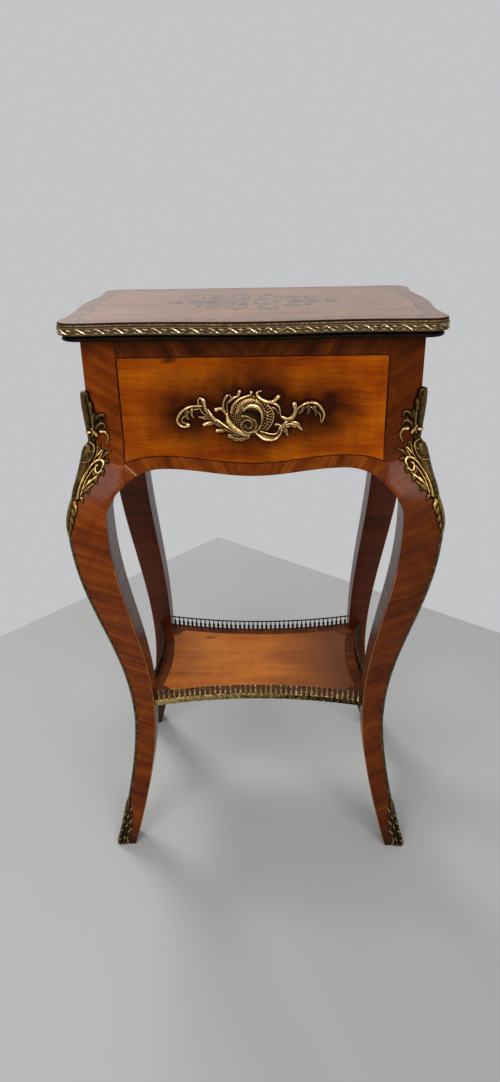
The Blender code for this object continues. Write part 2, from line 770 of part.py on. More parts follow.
def strand_rings(points, width, height, base):
    """Rings of a half-round strand that lies on the front panel, swelling in the middle."""
    steps = 3 * (len(points) - 1)
    nudge = 0.01
    rings = []
    for share in spread(0, 1, steps):
        here = through(points, share)
        before = through(points, max(share - nudge, 0))
        after = through(points, min(share + nudge, 1))
        run = math.hypot(after[0] - before[0], after[1] - before[1])
        normal = (-(after[1] - before[1]) / run, (after[0] - before[0]) / run)
        body = 0.3 + 0.7 * math.sin(math.pi * (0.15 + 0.8 * share))
        ring = []
        for turn in (0, 50, 90, 130, 180):
            angle = math.radians(turn)
            reach = width / 2 * body * math.cos(angle)
            depth = base + height * body * math.sin(angle)
            ring.append(on_front(here[0] + normal[0] * reach, depth, here[1] + normal[1] * reach))
        rings.append(ring)
    return rings


def make_front_mount(brass):
    """A lobed shell with two leafy arms, cast in one and pinned to the front panel."""
    rings = []
    for radius, depth in ((1.0, 0.0), (1.0, 0.3), (0.86, 0.75), (0.6, 1.0), (0.3, 0.7), (0.1, 0.85)):
        ring = []
        for step in range(2 * SHELL_LOBES):
            turn = math.pi * step / SHELL_LOBES
            flute = math.cos(SHELL_LOBES * turn)
            reach = radius * (1 + 0.07 * flute * radius)
            rise = GAP + SHELL_HEIGHT * depth * (1 + 0.12 * flute * radius)
            across = SHELL_HALF_WIDTH * reach * math.cos(turn)
            up = SHELL_HALF_HEIGHT * reach * math.sin(turn)
            ring.append(on_front(across, rise, up))
        rings.append(ring)
    shell = loft("front_mount", rings, brass, smooth=True)
    strands = []
    for order, shares in enumerate(FRONT_MOUNT_STRANDS):
        points = [(SHELL_HALF_WIDTH * across, SHELL_HALF_WIDTH * up) for across, up in shares]
        base = GAP * (1 + (order + 1) / 4)
        rings = strand_rings(points, STRAND_WIDTH, STRAND_HEIGHT, base)
        strands.append(loft(f"strand_{order}", rings, brass))
    return combine(shell, strands, "UNION")


def hang(pieces, empty):
    """Put pieces under an empty without moving them."""
    for piece in pieces:
        piece.parent = empty
        piece.matrix_parent_inverse = Matrix.Translation(-empty.location)


def make_empty(name, place):
    empty = bpy.data.objects.new(name, None)
    empty.location = place
    bpy.context.scene.collection.objects.link(empty)
    return empty


def main():
    clear_scene()
    veneer = make_material("kingwood", (0.20, 0.055, 0.018), 0.28)
    amber = make_material("satinwood", (0.42, 0.15, 0.035), 0.28)
    carcase = make_material("carcase", (0.22, 0.11, 0.05), 0.5)
    ebony = make_material("ebonised", (0.03, 0.012, 0.008), 0.3)
    brass = make_material("gilt_brass", (0.45, 0.30, 0.10), 0.35, 1.0)
    steel = make_material("steel", (0.45, 0.44, 0.42), 0.4, 1.0)
    velvet = make_material("velvet", (0.16, 0.01, 0.02), 0.9)
    glass = make_material("silvered_glass", (0.85, 0.86, 0.85), 0.03, 1.0)

    fixed = []
    for corner in CORNERS:
        fixed.append(make_leg(corner, veneer))
        fixed.append(make_knee_mount(corner, brass))
        fixed.append(make_arris_strip(corner, brass))
        fixed.append(make_sabot(corner, brass))
    for side in SIDES:
        fixed.append(make_panel(side, amber))
        fixed.append(make_gallery(side, brass))
    back_panel = bpy.data.objects["panel_back"]
    seats = leaf_recesses(CASE_TOP - LEAF_THICKNESS - GAP, CASE_TOP + GAP, amber)
    combine(back_panel, seats, "DIFFERENCE")
    fixed += make_case_inside(carcase, velvet)
    fixed.append(make_shelf(amber))
    fixed.append(make_front_mount(brass))

    moving = [make_lid_board(veneer)]
    moving += make_lid_mouldings(brass, ebony)
    moving += make_mirror(glass, ebony)
    for side, place in hinge_places().items():
        case_leaf, lid_leaf, pin = make_hinge(side, place, brass, steel)
        fixed += [case_leaf, pin]
        moving.append(lid_leaf)

    hang(fixed, make_empty("table", (0, 0, 0)))
    hang(moving, make_empty("lid_pivot", (0, HINGE_Y, HINGE_Z)))


main()
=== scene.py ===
"""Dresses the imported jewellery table: veneers, cast mounts, gallery, lined well and a plain studio."""
import math

import bmesh
import bpy
import numpy as np
from mathutils import Matrix, Vector
from mathutils.geometry import delaunay_2d_cdt


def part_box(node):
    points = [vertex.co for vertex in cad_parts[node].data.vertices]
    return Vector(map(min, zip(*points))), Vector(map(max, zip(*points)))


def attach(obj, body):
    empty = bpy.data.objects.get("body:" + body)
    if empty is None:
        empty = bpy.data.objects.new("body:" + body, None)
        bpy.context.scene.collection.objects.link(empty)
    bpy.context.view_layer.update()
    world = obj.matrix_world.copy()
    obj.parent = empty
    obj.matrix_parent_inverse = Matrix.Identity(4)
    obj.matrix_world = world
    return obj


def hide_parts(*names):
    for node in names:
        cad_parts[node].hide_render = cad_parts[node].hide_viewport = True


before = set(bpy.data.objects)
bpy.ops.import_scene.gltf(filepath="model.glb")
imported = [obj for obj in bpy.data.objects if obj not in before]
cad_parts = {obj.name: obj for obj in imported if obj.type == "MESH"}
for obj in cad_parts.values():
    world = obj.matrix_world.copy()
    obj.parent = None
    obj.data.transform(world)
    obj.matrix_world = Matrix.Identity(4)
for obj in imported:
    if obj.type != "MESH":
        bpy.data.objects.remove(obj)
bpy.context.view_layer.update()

# Sizes of the table, in metres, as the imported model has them
MM = 0.001
GAP = 0.0003
TABLE_HEIGHT = 0.740
HALF_WIDTH = 0.185
HALF_DEPTH = 0.128
POST_WIDTH = 0.036
PANEL_THICKNESS = 0.014
CASE_TOP = 0.7197
APRON_MIDDLE = 0.5627
APRON_RISE = 0.0095
APRON_SHOULDER = 0.044
APRON_EAR = 0.0145
APRON_PEAK = APRON_MIDDLE + APRON_RISE
ANKLE_HEIGHT = 0.200
KNEE_HEIGHT = 0.508
EAR_HEIGHT = APRON_PEAK - APRON_EAR
POST_START = CASE_TOP - 0.105
FOOT_FLARE = 0.0212
FOOT_SWEEP = 1.6
ANKLE_INSET = 0.014
KNEE_BULGE = 0.0305
FOOT_WIDTH = 0.0255
ANKLE_WIDTH = 0.0280
KNEE_WIDTH = 0.045
SHIN_LAG = 1.05
CALF_LEAD = 0.85
LID_WIDTH = 0.407
LID_DEPTH = 0.290
LID_FRONT_BOW = 0.008
LID_SIDE_BOW = 0.005
LID_EAR = 0.003
LID_BOW_SHARE = 0.667
LID_CORNER_RADIUS = 0.020
LID_UNDER = 0.720
LID_LIP = 0.0042
LID_REBATE = 0.008
BRASS_HEIGHT = 0.0085
SHELF_TOP = 0.2215
SHELF_UNDER = 0.2135
SHELF_EDGE_AT_LEG = 0.015
SHELF_FRONT_HOLLOW = 0.0165
SHELF_SIDE_HOLLOW = 0.012
STRIP_THICKNESS = 0.0014
GALLERY_HEIGHT = 0.0150
BALUSTER_PITCH = 0.0071
KNEE_MOUNT_FOOT = 0.504
FRONT_MOUNT_PLACE = (-0.003, 0.6357)
HINGE_Y = 0.1308
HINGE_Z = 0.71985
HINGE_PLACES = {"left": -0.100, "right": 0.100}
HINGE_HALF = 0.0153
KNUCKLE_SLOT = 0.0025
LEAF_DEPTH = 0.0108
LEAF_SEAT = 0.0015
LEAF_BACK = HINGE_Y - KNUCKLE_SLOT
LEAF_FRONT = LEAF_BACK - LEAF_DEPTH
SLOT_BACK = HINGE_Y + 0.03
MIRROR_SEAT = (0.1323, 0.0813, 0.0033)

# Sizes that belong to the dressing alone
EAR_FOOT = EAR_HEIGHT - 0.037
EAR_SWEEP = 0.026
JOINT_HEIGHT = 0.580
JOINT_RISE = 0.42
LEG_GRAIN = math.radians(-27)
EDGE_ROUND = 0.0009
ARRIS_ROUND = 0.0024
POST_ROUND = 0.0009
WORN_TO = 0.45
PANEL_BEVEL = 0.0007
BAND_GRAIN = math.radians(62)
BAND_TURN = 0.64
STRING_WIDTH = 0.0013
LINE_INSET = 0.0006
LINE_RISE = 0.0150
LINE_LIFT = 0.0080
TOP_LINE = 0.7005
MITRE_RUN = 0.0125
MITRE_WIDTH = 0.0008
LID_EASE = 0.0012
LID_BORDER = 0.0190
BRASS_BACK = 0.0074
FILLET_TOP = TABLE_HEIGHT - 0.0023
SHELF_BORDER = 0.0140
SHELF_EAR = 0.0190
SHELF_LINE = 0.0012
WIRE_RADIUS = 0.0016
WIRE_BEAD = 0.0005
TOE_TIP = 0.074
FRONT_SWELL = 1.22
KNEE_RELIEF = 0.92
KNEE_SWELL = 1.12

SIDES = ("front", "right", "back", "left")
SIDE_ENDS = ((1, -1), (1, 1), (-1, 1), (-1, -1))
QUARTERS = ((-1, -1), (-1, 1), (1, -1), (1, 1))
CORNERS = {
    "front_left": (-1, -1),
    "front_right": (1, -1),
    "back_left": (-1, 1),
    "back_right": (1, 1),
}


# Meshes

class Shape:
    """Points, faces, grain coordinates and material zones of a mesh that is being put together."""

    def __init__(self):
        self.points = []
        self.faces = []
        self.grain = []
        self.zones = []

    def add(self, points, faces, grain=None, zone=0):
        start = len(self.points)
        self.points += [tuple(point) for point in points]
        for face in faces:
            self.faces.append([start + index for index in face])
            self.zones.append(zone)
            self.grain += [grain[index] if grain else (0.0, 0.0) for index in face]

    def cap(self, ring, grain, zone):
        self.add(ring, [range(len(ring))], grain, zone)

    def band(self, rows, grain=None, zone=0):
        """Add rows of points as quads that join round."""
        count = len(rows[0])
        faces = []
        for start in range(0, count * (len(rows) - 1), count):
            for column in range(count):
                low, high = start + column, start + (column + 1) % count
                faces.append((low, high, high + count, low + count))
        flat = [place for row in grain for place in row] if grain else None
        self.add([point for row in rows for point in row], faces, flat, zone)

    def tube(self, rows, grain=None, zone=0):
        """Add a band with both its ends closed."""
        self.band(rows, grain, zone)
        count = len(rows[0])
        start = -count * len(rows)
        self.add([], [range(start, start + count), range(-count, 0)], None, zone)


def place_object(name, data):
    made = bpy.data.objects.new(name, data)
    bpy.context.scene.collection.objects.link(made)
    return made


def put(work, mesh, materials, body, node, smooth):
    """Make a piece of a bmesh; it rides on a body and may stand for a CAD node."""
    bmesh.ops.recalc_face_normals(work, faces=work.faces)
    work.to_mesh(mesh)
    work.free()
    for material in materials:
        mesh.materials.append(material)
    if smooth:
        mesh.shade_smooth()
        mesh.set_sharp_from_angle(angle=math.radians(smooth))
    piece = place_object(mesh.name, mesh)
    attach(piece, body)
    if node:
        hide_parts(node)
    return piece


def build(name, shape, materials, body, node=None, smooth=None, crest=None):
    """Weld a shape into one piece; crest gives each point's gilding."""
    mesh = bpy.data.meshes.new(name)
    mesh.from_pydata(shape.points, [], shape.faces)
    mesh.polygons.foreach_set("material_index", shape.zones)
    layer = mesh.uv_layers.new(name="grain")
    layer.data.foreach_set("uv", np.array(shape.grain, np.float32).ravel())
    if crest:
        mesh.attributes.new("crest", "FLOAT", "POINT").data.foreach_set("value", crest)
    work = bmesh.new()
    work.from_mesh(mesh)
    bmesh.ops.remove_doubles(work, verts=work.verts, dist=2e-6)
    return put(work, mesh, materials, body, node, smooth)


def box_between(low, high):
    work = bmesh.new()
    bmesh.ops.create_cube(work, size=1.0)
    for vert in work.verts:
        vert.co = [lo + (hi - lo) * (co + 0.5) for lo, hi, co in zip(low, high, vert.co)]
    return work


def cut(piece, boxes):
    """Take boxes, each given by two corners, out of a piece."""
    for low, high in boxes:
        mesh = bpy.data.meshes.new("cutter")
        work = box_between(low, high)
        work.to_mesh(mesh)
        work.free()
        cutter = place_object("cutter", mesh)
        modifier = piece.modifiers.new("cut", "BOOLEAN")
        modifier.operation = "DIFFERENCE"
        modifier.object = cutter
        modifier.solver = "EXACT"
        graph = bpy.context.evaluated_depsgraph_get()
        baked = bpy.data.meshes.new_from_object(piece.evaluated_get(graph))
        piece.modifiers.clear()
        piece.data = baked
        bpy.data.objects.remove(cutter)


def spread(start, end, count):
    return [start + (end - start) * step / count for step in range(count + 1)]


def ease(share):
    return (1 - math.cos(math.pi * share)) / 2


def on_circle(middle, radius, turn):
    return (middle[0] + radius * math.cos(turn), middle[1] + radius * math.sin(turn))


def turned(place, angle, shift=(0.0, 0.0)):
    """Grain coordinates of a place whose grain runs at an angle to its first axis."""
    cos, sin = math.cos(angle), math.sin(angle)
    return (place[0] * cos + place[1] * sin + shift[0], place[1] * cos - place[0] * sin + shift[1])


def turn_to_side(side, along, out):
    """The plan point at a place along a side of the table and a distance from its middle."""
    return {"front": (along, -out), "right": (out, along), "back": (-along, out), "left": (-out, -along)}[side]


def inside(point, outline):
    """Whether a plan point lies inside a closed outline."""
    x, y = point
    hit = False
    for (x0, y0), (x1, y1) in zip(outline, outline[1:] + outline[:1]):
        if (y0 > y) != (y1 > y) and x < x0 + (y - y0) * (x1 - x0) / (y1 - y0):
            hit = not hit
    return hit


def add_inlay(shape, outline, loops, zone_of, place, grain_of):
    """Add a flat face cut along loops; zone_of gives the material zone and grain key of a plan point."""
    points = []
    edges = []
    for loop in [outline] + loops:
        start = len(points)
        points += [Vector(point) for point in loop]
        edges += [(start + index, start + (index + 1) % len(loop)) for index in range(len(loop))]
    made, _, faces, *_ = delaunay_2d_cdt(points, edges, [], 0, 1e-6)
    for face in faces:
        spots = [made[index] for index in face]
        middle = sum(spots, Vector((0, 0))) / len(face)
        if inside(middle, outline):
            zone, key = zone_of(middle)
            shape.cap([place(*spot) for spot in spots], [grain_of(key, tuple(spot)) for spot in spots], zone)


# Looks

class Look:
    """A node material with a principled shader; plain numbers go straight onto its sockets."""

    def __init__(self, name, **sockets):
        self.material = bpy.data.materials.new(name)
        self.material.use_nodes = True
        self.tree = self.material.node_tree
        self.shader = self.tree.nodes["Principled BSDF"]
        for socket, value in sockets.items():
            self.shader.inputs[socket.replace("_", " ")].default_value = value

    def add(self, kind, inputs=None, **settings):
        made = self.tree.nodes.new(kind)
        for key, value in settings.items():
            setattr(made, key, value)
        for key, value in (inputs or {}).items():
            if isinstance(value, bpy.types.NodeSocket):
                self.tree.links.new(value, made.inputs[key])
            else:
                made.inputs[key].default_value = value
        return made

    def drive(self, socket, output):
        self.tree.links.new(output, self.shader.inputs[socket])

    def math(self, operation, first, second=0.0, third=0.0):
        return self.add("ShaderNodeMath", {0: first, 1: second, 2: third}, operation=operation).outputs[0]

    def place(self):
        return self.add("ShaderNodeTexCoord").outputs["Object"]

    def axis(self, name):
        return self.add("ShaderNodeSeparateXYZ", {"Vector": self.place()}).outputs[name]

    def noise(self, vector, scale=1.0, detail=2.0, roughness=0.5, distortion=0.0):
        return self.add("ShaderNodeTexNoise", {
            "Vector": vector, "Scale": scale, "Detail": detail,
            "Roughness": roughness, "Distortion": distortion,
        }).outputs["Fac"]

    def scaled(self, vector, along, across, shift=(0.0, 0.0, 0.0)):
        inputs = {"Vector": vector, "Scale": (along, across, across), "Location": shift}
        return self.add("ShaderNodeMapping", inputs).outputs["Vector"]

    def streaks(self, vector, along, across, detail=2.0, shift=(0.0, 0.0, 0.0), roughness=0.5):
        return self.noise(self.scaled(vector, along, across, shift), 1.0, detail, roughness)

    def ramp(self, factor, stops):
        made = self.add("ShaderNodeValToRGB", {"Fac": factor})
        band = made.color_ramp
        while len(band.elements) < len(stops):
            band.elements.new(0.5)
        for element, (place, tone) in zip(band.elements, stops):
            element.position = place
            element.color = (*tone, 1.0)
        return made.outputs["Color"]

    def fit(self, value, low, high, start=0.0, end=1.0):
        return self.add("ShaderNodeMapRange", {
            "Value": value, "From Min": low, "From Max": high, "To Min": start, "To Max": end,
        }).outputs["Result"]

    def stain(self, mask, tone, colour):
        """Lay a colour over a tone where a mask is high."""
        return self.add("ShaderNodeMix", {0: mask, 6: tone, 7: (*colour, 1.0)}, data_type="RGBA").outputs[2]

    def bump(self, height, strength, distance):
        made = self.add("ShaderNodeBump", {"Height": height, "Strength": strength, "Distance": distance})
        self.drive("Normal", made.outputs["Normal"])


def dimmed(tone, share):
    return tuple(share * part for part in tone)


def make_wood(
        name, dark, middle, light, band=70.0, share=0.5, coat=0.05, gloss=0.13,
        halo=False, knots=0.0, shade=None, scuffed=False):
    """Polished veneer: bands, fibres, ripple and pores along the grain; shade is (amount, from X, to X) of
    painted shade across the table, and the flag for the lower part adds painted shade down the legs and scuffs
    by the floor.
    """
    look = Look(
        name, Coat_Weight=coat, Coat_Roughness=0.2,
        Specular_IOR_Level=gloss, Specular_Tint=(1.0, 0.6, 0.3, 1.0))
    grain = look.add("ShaderNodeUVMap", uv_map="grain").outputs["UV"]
    drift = look.streaks(grain, 9.0, 14.0, 1.0)
    sway = look.add("ShaderNodeCombineXYZ", {"Y": look.fit(drift, 0.0, 1.0, -0.012, 0.012)}).outputs[0]
    bent = look.add("ShaderNodeVectorMath", {0: grain, 1: sway}, operation="ADD").outputs[0]
    broad = look.streaks(bent, 11.0, 26.0, 2.0, (3.1, 1.7, 0.0))
    fibres = look.streaks(bent, 28.0, 900.0)
    ripple = look.streaks(grain, 85.0, 16.0, 1.0, (0.4, 5.0, 0.0))
    mixed = look.math("MULTIPLY", look.streaks(bent, band / 14, band, 3.0, roughness=0.55), share)
    for layer, weight in ((broad, 0.9 - share), (fibres, 0.32), (ripple, 0.14)):
        mixed = look.math("MULTIPLY_ADD", layer, weight, mixed)
    tone = look.ramp(look.fit(mixed, 0.51, 0.85), ((0.0, dark), (0.45, middle), (1.0, light)))
    pores = look.fit(look.streaks(bent, 150.0, 2400.0, 1.0), 0.60, 0.72)
    tone = look.stain(look.math("MULTIPLY", pores, 0.45), tone, dimmed(dark, 0.35))
    if knots:
        cells = look.add("ShaderNodeTexVoronoi", {"Vector": look.scaled(bent, 13.0, 34.0), "Scale": 1.0})
        spot = look.fit(cells.outputs["Distance"], 0.07, 0.15, 1.0, 0.0)
        picked = look.add("ShaderNodeSeparateColor", {"Color": cells.outputs["Color"]}).outputs["Red"]
        spot = look.math("MULTIPLY", spot, look.math("GREATER_THAN", picked, 1.0 - knots))
        tone = look.stain(look.math("MULTIPLY", spot, 0.8), tone, dimmed(dark, 0.12))
    # Painted shade: the colour darkens from one X to the other, for the shade on that side of the table.
    if shade:
        amount, start, end = shade
        tone = look.stain(look.fit(look.axis("X"), start, end, 0.0, amount), tone, dimmed(dark, 0.3))
    # Painted shade: the colour darkens from 0.38 m down to 0.05 m; in the last 45 mm over the floor it darkens
    # further, for scuffs and dirt.
    if scuffed:
        up = look.axis("Z")
        tone = look.stain(look.fit(up, 0.05, 0.38, 0.32, 0.0), tone, dimmed(dark, 0.3))
        tone = look.stain(look.fit(up, 0.004, 0.045, 0.92, 0.0), tone, (0.022, 0.005, 0.003))
    if halo:
        tone = look.stain(dirt_round_mount(look), tone, (0.022, 0.003, 0.0008))
    look.drive("Base Color", tone)
    look.drive("Roughness", look.fit(fibres, 0.3, 0.7, 0.36, 0.52))
    look.bump(look.math("SUBTRACT", fibres, look.math("MULTIPLY", pores, 0.8)), 0.12, 0.00025)
    return look.material


def dirt_round_mount(look):
    """The dark polish that has gathered round the front mount, as a mask."""
    across = look.math("ABSOLUTE", look.math("SUBTRACT", look.axis("X"), FRONT_MOUNT_PLACE[0] + 0.006))
    up = look.math("SUBTRACT", look.axis("Z"), FRONT_MOUNT_PLACE[1] + 0.003)
    gaps = []
    for half, radius in ((0.078, 0.012), (0.009, 0.027)):
        beyond = look.math("MAXIMUM", look.math("SUBTRACT", across, half), 0.0)
        gap = look.math("SQRT", look.math("MULTIPLY_ADD", beyond, beyond, look.math("MULTIPLY", up, up)))
        gaps.append(look.math("SUBTRACT", gap, radius))
    smudge = look.fit(look.noise(look.place(), 45.0, 3.0), 0.3, 0.7, -0.007, 0.007)
    gap = look.math("ADD", look.math("SMOOTH_MIN", *gaps, 0.014), smudge)
    return look.math("MULTIPLY", look.math("POWER", look.fit(gap, 0.0, 0.041, 1.0, 0.0), 1.1), 0.97)


def make_brass(name, dull, bright, crest=True, rough=0.34, fade=0.0):
    """Old gilt brass: dark in the hollows, rubbed bright on the crests; fade dulls it towards +X."""
    look = Look(name, Metallic=1.0)
    cloud = look.noise(look.place(), 240.0, 3.0, 0.6)
    speck = look.noise(look.place(), 1600.0)
    worn = look.fit(cloud, 0.32, 0.68)
    if crest:
        height = look.add("ShaderNodeAttribute", attribute_name="crest").outputs["Fac"]
        worn = look.math("MULTIPLY_ADD", look.math("SUBTRACT", cloud, 0.5), 0.5, height)
    worn = look.math("MULTIPLY_ADD", look.math("SUBTRACT", speck, 0.5), 0.2, worn)
    if fade:
        worn = look.math("ADD", worn, look.fit(look.axis("X"), -0.14, 0.14, fade, -fade))
    middle = tuple((0.78 * a + 0.22 * b) * c for a, b, c in zip(dull, bright, (1.0, 0.90, 0.84)))
    look.drive("Base Color", look.ramp(worn, ((0.10, dull), (0.45, middle), (0.90, bright))))
    look.drive("Roughness", look.fit(worn, 0.1, 0.9, rough + 0.20, rough - 0.08))
    look.bump(look.math("ADD", cloud, look.math("MULTIPLY", speck, 0.4)), 0.25, 0.0004)
    return look.material


def make_velvet(name, deep, pale):
    look = Look(name, Roughness=0.9, Sheen_Weight=0.8, Sheen_Roughness=0.35, Specular_IOR_Level=0.1)
    look.shader.inputs["Sheen Tint"].default_value = (*[min(1.0, 2.5 * part + 0.15) for part in pale], 1.0)
    brushed = look.noise(look.place(), 55.0, 3.0, 0.6, 0.8)
    pile = look.noise(look.place(), 2600.0)
    mixed = look.math("MULTIPLY_ADD", pile, 0.5, look.math("MULTIPLY", brushed, 0.7))
    look.drive("Base Color", look.ramp(look.fit(mixed, 0.35, 0.85), ((0.0, deep), (1.0, pale))))
    look.bump(pile, 0.5, 0.0006)
    return look.material


def make_plain_wood(name, dark, light, coat=0.0):
    """Bare or ebonised carcase wood, with its grain along X of the table."""
    look = Look(name, Coat_Weight=coat, Coat_Roughness=0.22)
    bands = look.streaks(look.place(), 9.0, 120.0, 3.0)
    fibres = look.streaks(look.place(), 40.0, 1100.0)
    mixed = look.math("MULTIPLY_ADD", fibres, 0.35, look.math("MULTIPLY", bands, 0.65))
    look.drive("Base Color", look.ramp(look.fit(mixed, 0.3, 0.7), ((0.0, dark), (1.0, light))))
    look.drive("Roughness", look.fit(fibres, 0.3, 0.7, 0.45, 0.65))
    look.bump(fibres, 0.25, 0.0003)
    return look.material


def make_mirror_look(name):
    """Old silvered glass with a little foxing."""
    look = Look(name, Metallic=1.0)
    fox = look.fit(look.noise(look.place(), 130.0, 4.0, 0.7), 0.66, 0.78)
    look.drive("Base Color", look.ramp(fox, ((0.0, (0.82, 0.84, 0.83)), (1.0, (0.10, 0.08, 0.06)))))
    look.drive("Roughness", look.fit(fox, 0.0, 1.0, 0.03, 0.5))
    return look.material


# Painted shade: the right legs darken towards their outer sides, and the lower legs darken towards the floor.
LEG_WOOD = make_wood(
    "leg veneer", (0.066, 0.010, 0.001), (0.150, 0.026, 0.002), (0.28, 0.060, 0.003), 80.0, 0.58, 0.19, 0.1,
    shade=(0.55, 0.08, 0.215), scuffed=True)
# Painted shade: the right-hand posts are darkened.
POST_WOOD = make_wood(
    "post veneer", (0.060, 0.008, 0.001), (0.135, 0.021, 0.001), (0.26, 0.054, 0.003), 80.0, 0.55,
    shade=(0.5, -0.16, 0.16))
BAND_WOOD = make_wood(
    "crossbanding", (0.046, 0.007, 0.001), (0.128, 0.023, 0.002), (0.30, 0.070, 0.005), 70.0, 0.55)
# Painted shade: the left of the front field is darkened; the darkening round the mount is old polish.
FIELD_WOOD = make_wood(
    "front field", (0.170, 0.022, 0.0006), (0.305, 0.055, 0.0006), (0.45, 0.110, 0.002), 90.0, 0.45,
    0.04, 0.09,
    halo=True, knots=0.20, shade=(0.20, 0.16, -0.16))
PANEL_WOOD = make_wood(
    "side field", (0.15, 0.019, 0.0008), (0.265, 0.047, 0.0012), (0.39, 0.090, 0.004), 90.0, 0.45,
    knots=0.06)
# Painted shadow: the right part of the undertier's field is darkened, as in the shade of the case.
SHELF_WOOD = make_wood(
    "undertier field", (0.23, 0.048, 0.002), (0.365, 0.093, 0.004), (0.48, 0.145, 0.009), 90.0, 0.45,
    0.26, 0.16,
    knots=0.08, shade=(0.85, 0.0, 0.11))
# Painted shade: the undertier's banding is darkened nearly to black.
SHADED_SHELF_BAND = make_wood(
    "undertier banding", (0.026, 0.004, 0.0008), (0.068, 0.011, 0.0015), (0.14, 0.029, 0.003), 70.0,
    0.55, 0.2, 0.13)
# Painted shadow: the band right under the lid is darker, for the shadow of the lid's overhang.
SHADOWED_TOP_BAND = make_wood(
    "upper crossbanding", (0.026, 0.004, 0.001), (0.078, 0.013, 0.0015), (0.18, 0.038, 0.003), 70.0, 0.55)
LID_WOOD = make_wood(
    "lid field", (0.11, 0.038, 0.013), (0.205, 0.080, 0.030), (0.30, 0.130, 0.055), 80.0, 0.5, 0.7, 0.26)
LID_BAND = make_wood(
    "lid banding", (0.075, 0.024, 0.009), (0.15, 0.052, 0.019), (0.235, 0.090, 0.036), 60.0, 0.55, 0.7,
    0.26)
LID_LINE = make_wood(
    "lid line", (0.020, 0.009, 0.005), (0.04, 0.017, 0.009), (0.06, 0.026, 0.014), 160.0, 0.4, 0.6, 0.22)
LIP_WOOD = make_wood(
    "lid lip", (0.008, 0.003, 0.0015), (0.018, 0.006, 0.003), (0.04, 0.013, 0.007), 90.0, 0.5, 0.03, 0.06)
# Painted shade: the inner faces darken down the lower legs, where they stand under the undertier.
INNER_WOOD = make_wood(
    "leg inside", (0.022, 0.003, 0.0006), (0.054, 0.008, 0.001), (0.095, 0.019, 0.002), 60.0, 0.5, 0.42,
    0.1, scuffed=True)
WORN_WOOD = make_wood(
    "worn arris", (0.16, 0.045, 0.010), (0.29, 0.09, 0.02), (0.42, 0.16, 0.04), 120.0, 0.4, 0.2)
STRING_WOOD = make_wood(
    "dark stringing", (0.006, 0.002, 0.001), (0.011, 0.003, 0.001), (0.025, 0.006, 0.002), 160.0, 0.4)
FILLER = make_wood("pale joint", (0.36, 0.25, 0.18), (0.46, 0.34, 0.25), (0.60, 0.48, 0.38), 200.0, 0.4)
DARK_LEAF = make_wood(
    "stained leaf inlay", (0.026, 0.018, 0.014), (0.046, 0.033, 0.026), (0.078, 0.056, 0.043), 200.0,
    0.4, 0.6, 0.22)
PALE_LEAF = make_wood(
    "pale petal inlay", (0.19, 0.09, 0.05), (0.27, 0.14, 0.08), (0.36, 0.20, 0.12), 200.0, 0.4, 0.6, 0.22)
EBONY = make_wood(
    "ebonised bead", (0.003, 0.002, 0.0015), (0.006, 0.004, 0.003), (0.015, 0.009, 0.006), 120.0, 0.4,
    0.03, 0.05)
BRASS = make_brass("gilt brass", (0.028, 0.015, 0.005), (1.0, 0.64, 0.26), rough=0.30)
KNEE_BRASS = make_brass("knee gilt brass", (0.020, 0.012, 0.004), (0.84, 0.53, 0.18), rough=0.32)
TOE_BRASS = make_brass("toe gilt brass", (0.012, 0.009, 0.004), (0.62, 0.44, 0.18), rough=0.34)
EDGE_BRASS = make_brass("lid edge brass", (0.098, 0.069, 0.034), (1.0, 0.75, 0.42), rough=0.30)
# Brass darkened nearly to black: painted shade on the back and side galleries; also used for the rails and nail
# heads.
DARK_SHADED_BRASS = make_brass(
    "bronzed brass", (0.006, 0.0045, 0.003), (0.085, 0.058, 0.028), crest=False, rough=0.44)
GALLERY_BRASS = make_brass(
    "gallery brass", (0.26, 0.19, 0.085), (0.90, 0.70, 0.36), crest=False, rough=0.26)
STRIP_BRASS = make_brass(
    "gallery strip brass", (0.020, 0.014, 0.005), (0.56, 0.40, 0.14), crest=False, rough=0.36, fade=0.42)
FILLET_BRASS = make_brass(
    "lid fillet brass", (0.13, 0.095, 0.052), (0.23, 0.170, 0.094), crest=False, rough=0.50)
WIRE_BRASS = make_brass(
    "beaded wire brass", (0.050, 0.036, 0.016), (0.21, 0.15, 0.065), crest=False, rough=0.4)
HINGE_BRASS = make_brass("hinge brass", (0.16, 0.11, 0.05), (0.58, 0.42, 0.18), crest=False, rough=0.34)
VELVET = make_velvet("crimson velvet", (0.05, 0.003, 0.006), (0.17, 0.012, 0.022))
CARCASE = make_plain_wood("oak carcase", (0.13, 0.065, 0.03), (0.30, 0.17, 0.085))
LEDGE_WOOD = make_plain_wood("ebonised ledge", (0.012, 0.007, 0.005), (0.035, 0.02, 0.014), 0.4)
MIRROR = make_mirror_look("silvered glass")
STEEL = make_brass("steel pin", (0.12, 0.12, 0.12), (0.5, 0.5, 0.5), crest=False, rough=0.3)


# Legs

def leg_outer(height):
    """How far a leg's outer faces stand outside the case at a height."""
    if height < ANKLE_HEIGHT:
        share = (ANKLE_HEIGHT - height) / ANKLE_HEIGHT
        return -ANKLE_INSET + (FOOT_FLARE + ANKLE_INSET) * max(share, 0.0) ** FOOT_SWEEP
    if height < KNEE_HEIGHT:
        share = (height - ANKLE_HEIGHT) / (KNEE_HEIGHT - ANKLE_HEIGHT)
        return -ANKLE_INSET + (KNEE_BULGE + ANKLE_INSET) * ease(share ** SHIN_LAG)
    if height < POST_START:
        return KNEE_BULGE * (1 - ease((height - KNEE_HEIGHT) / (POST_START - KNEE_HEIGHT)))
    return 0.0


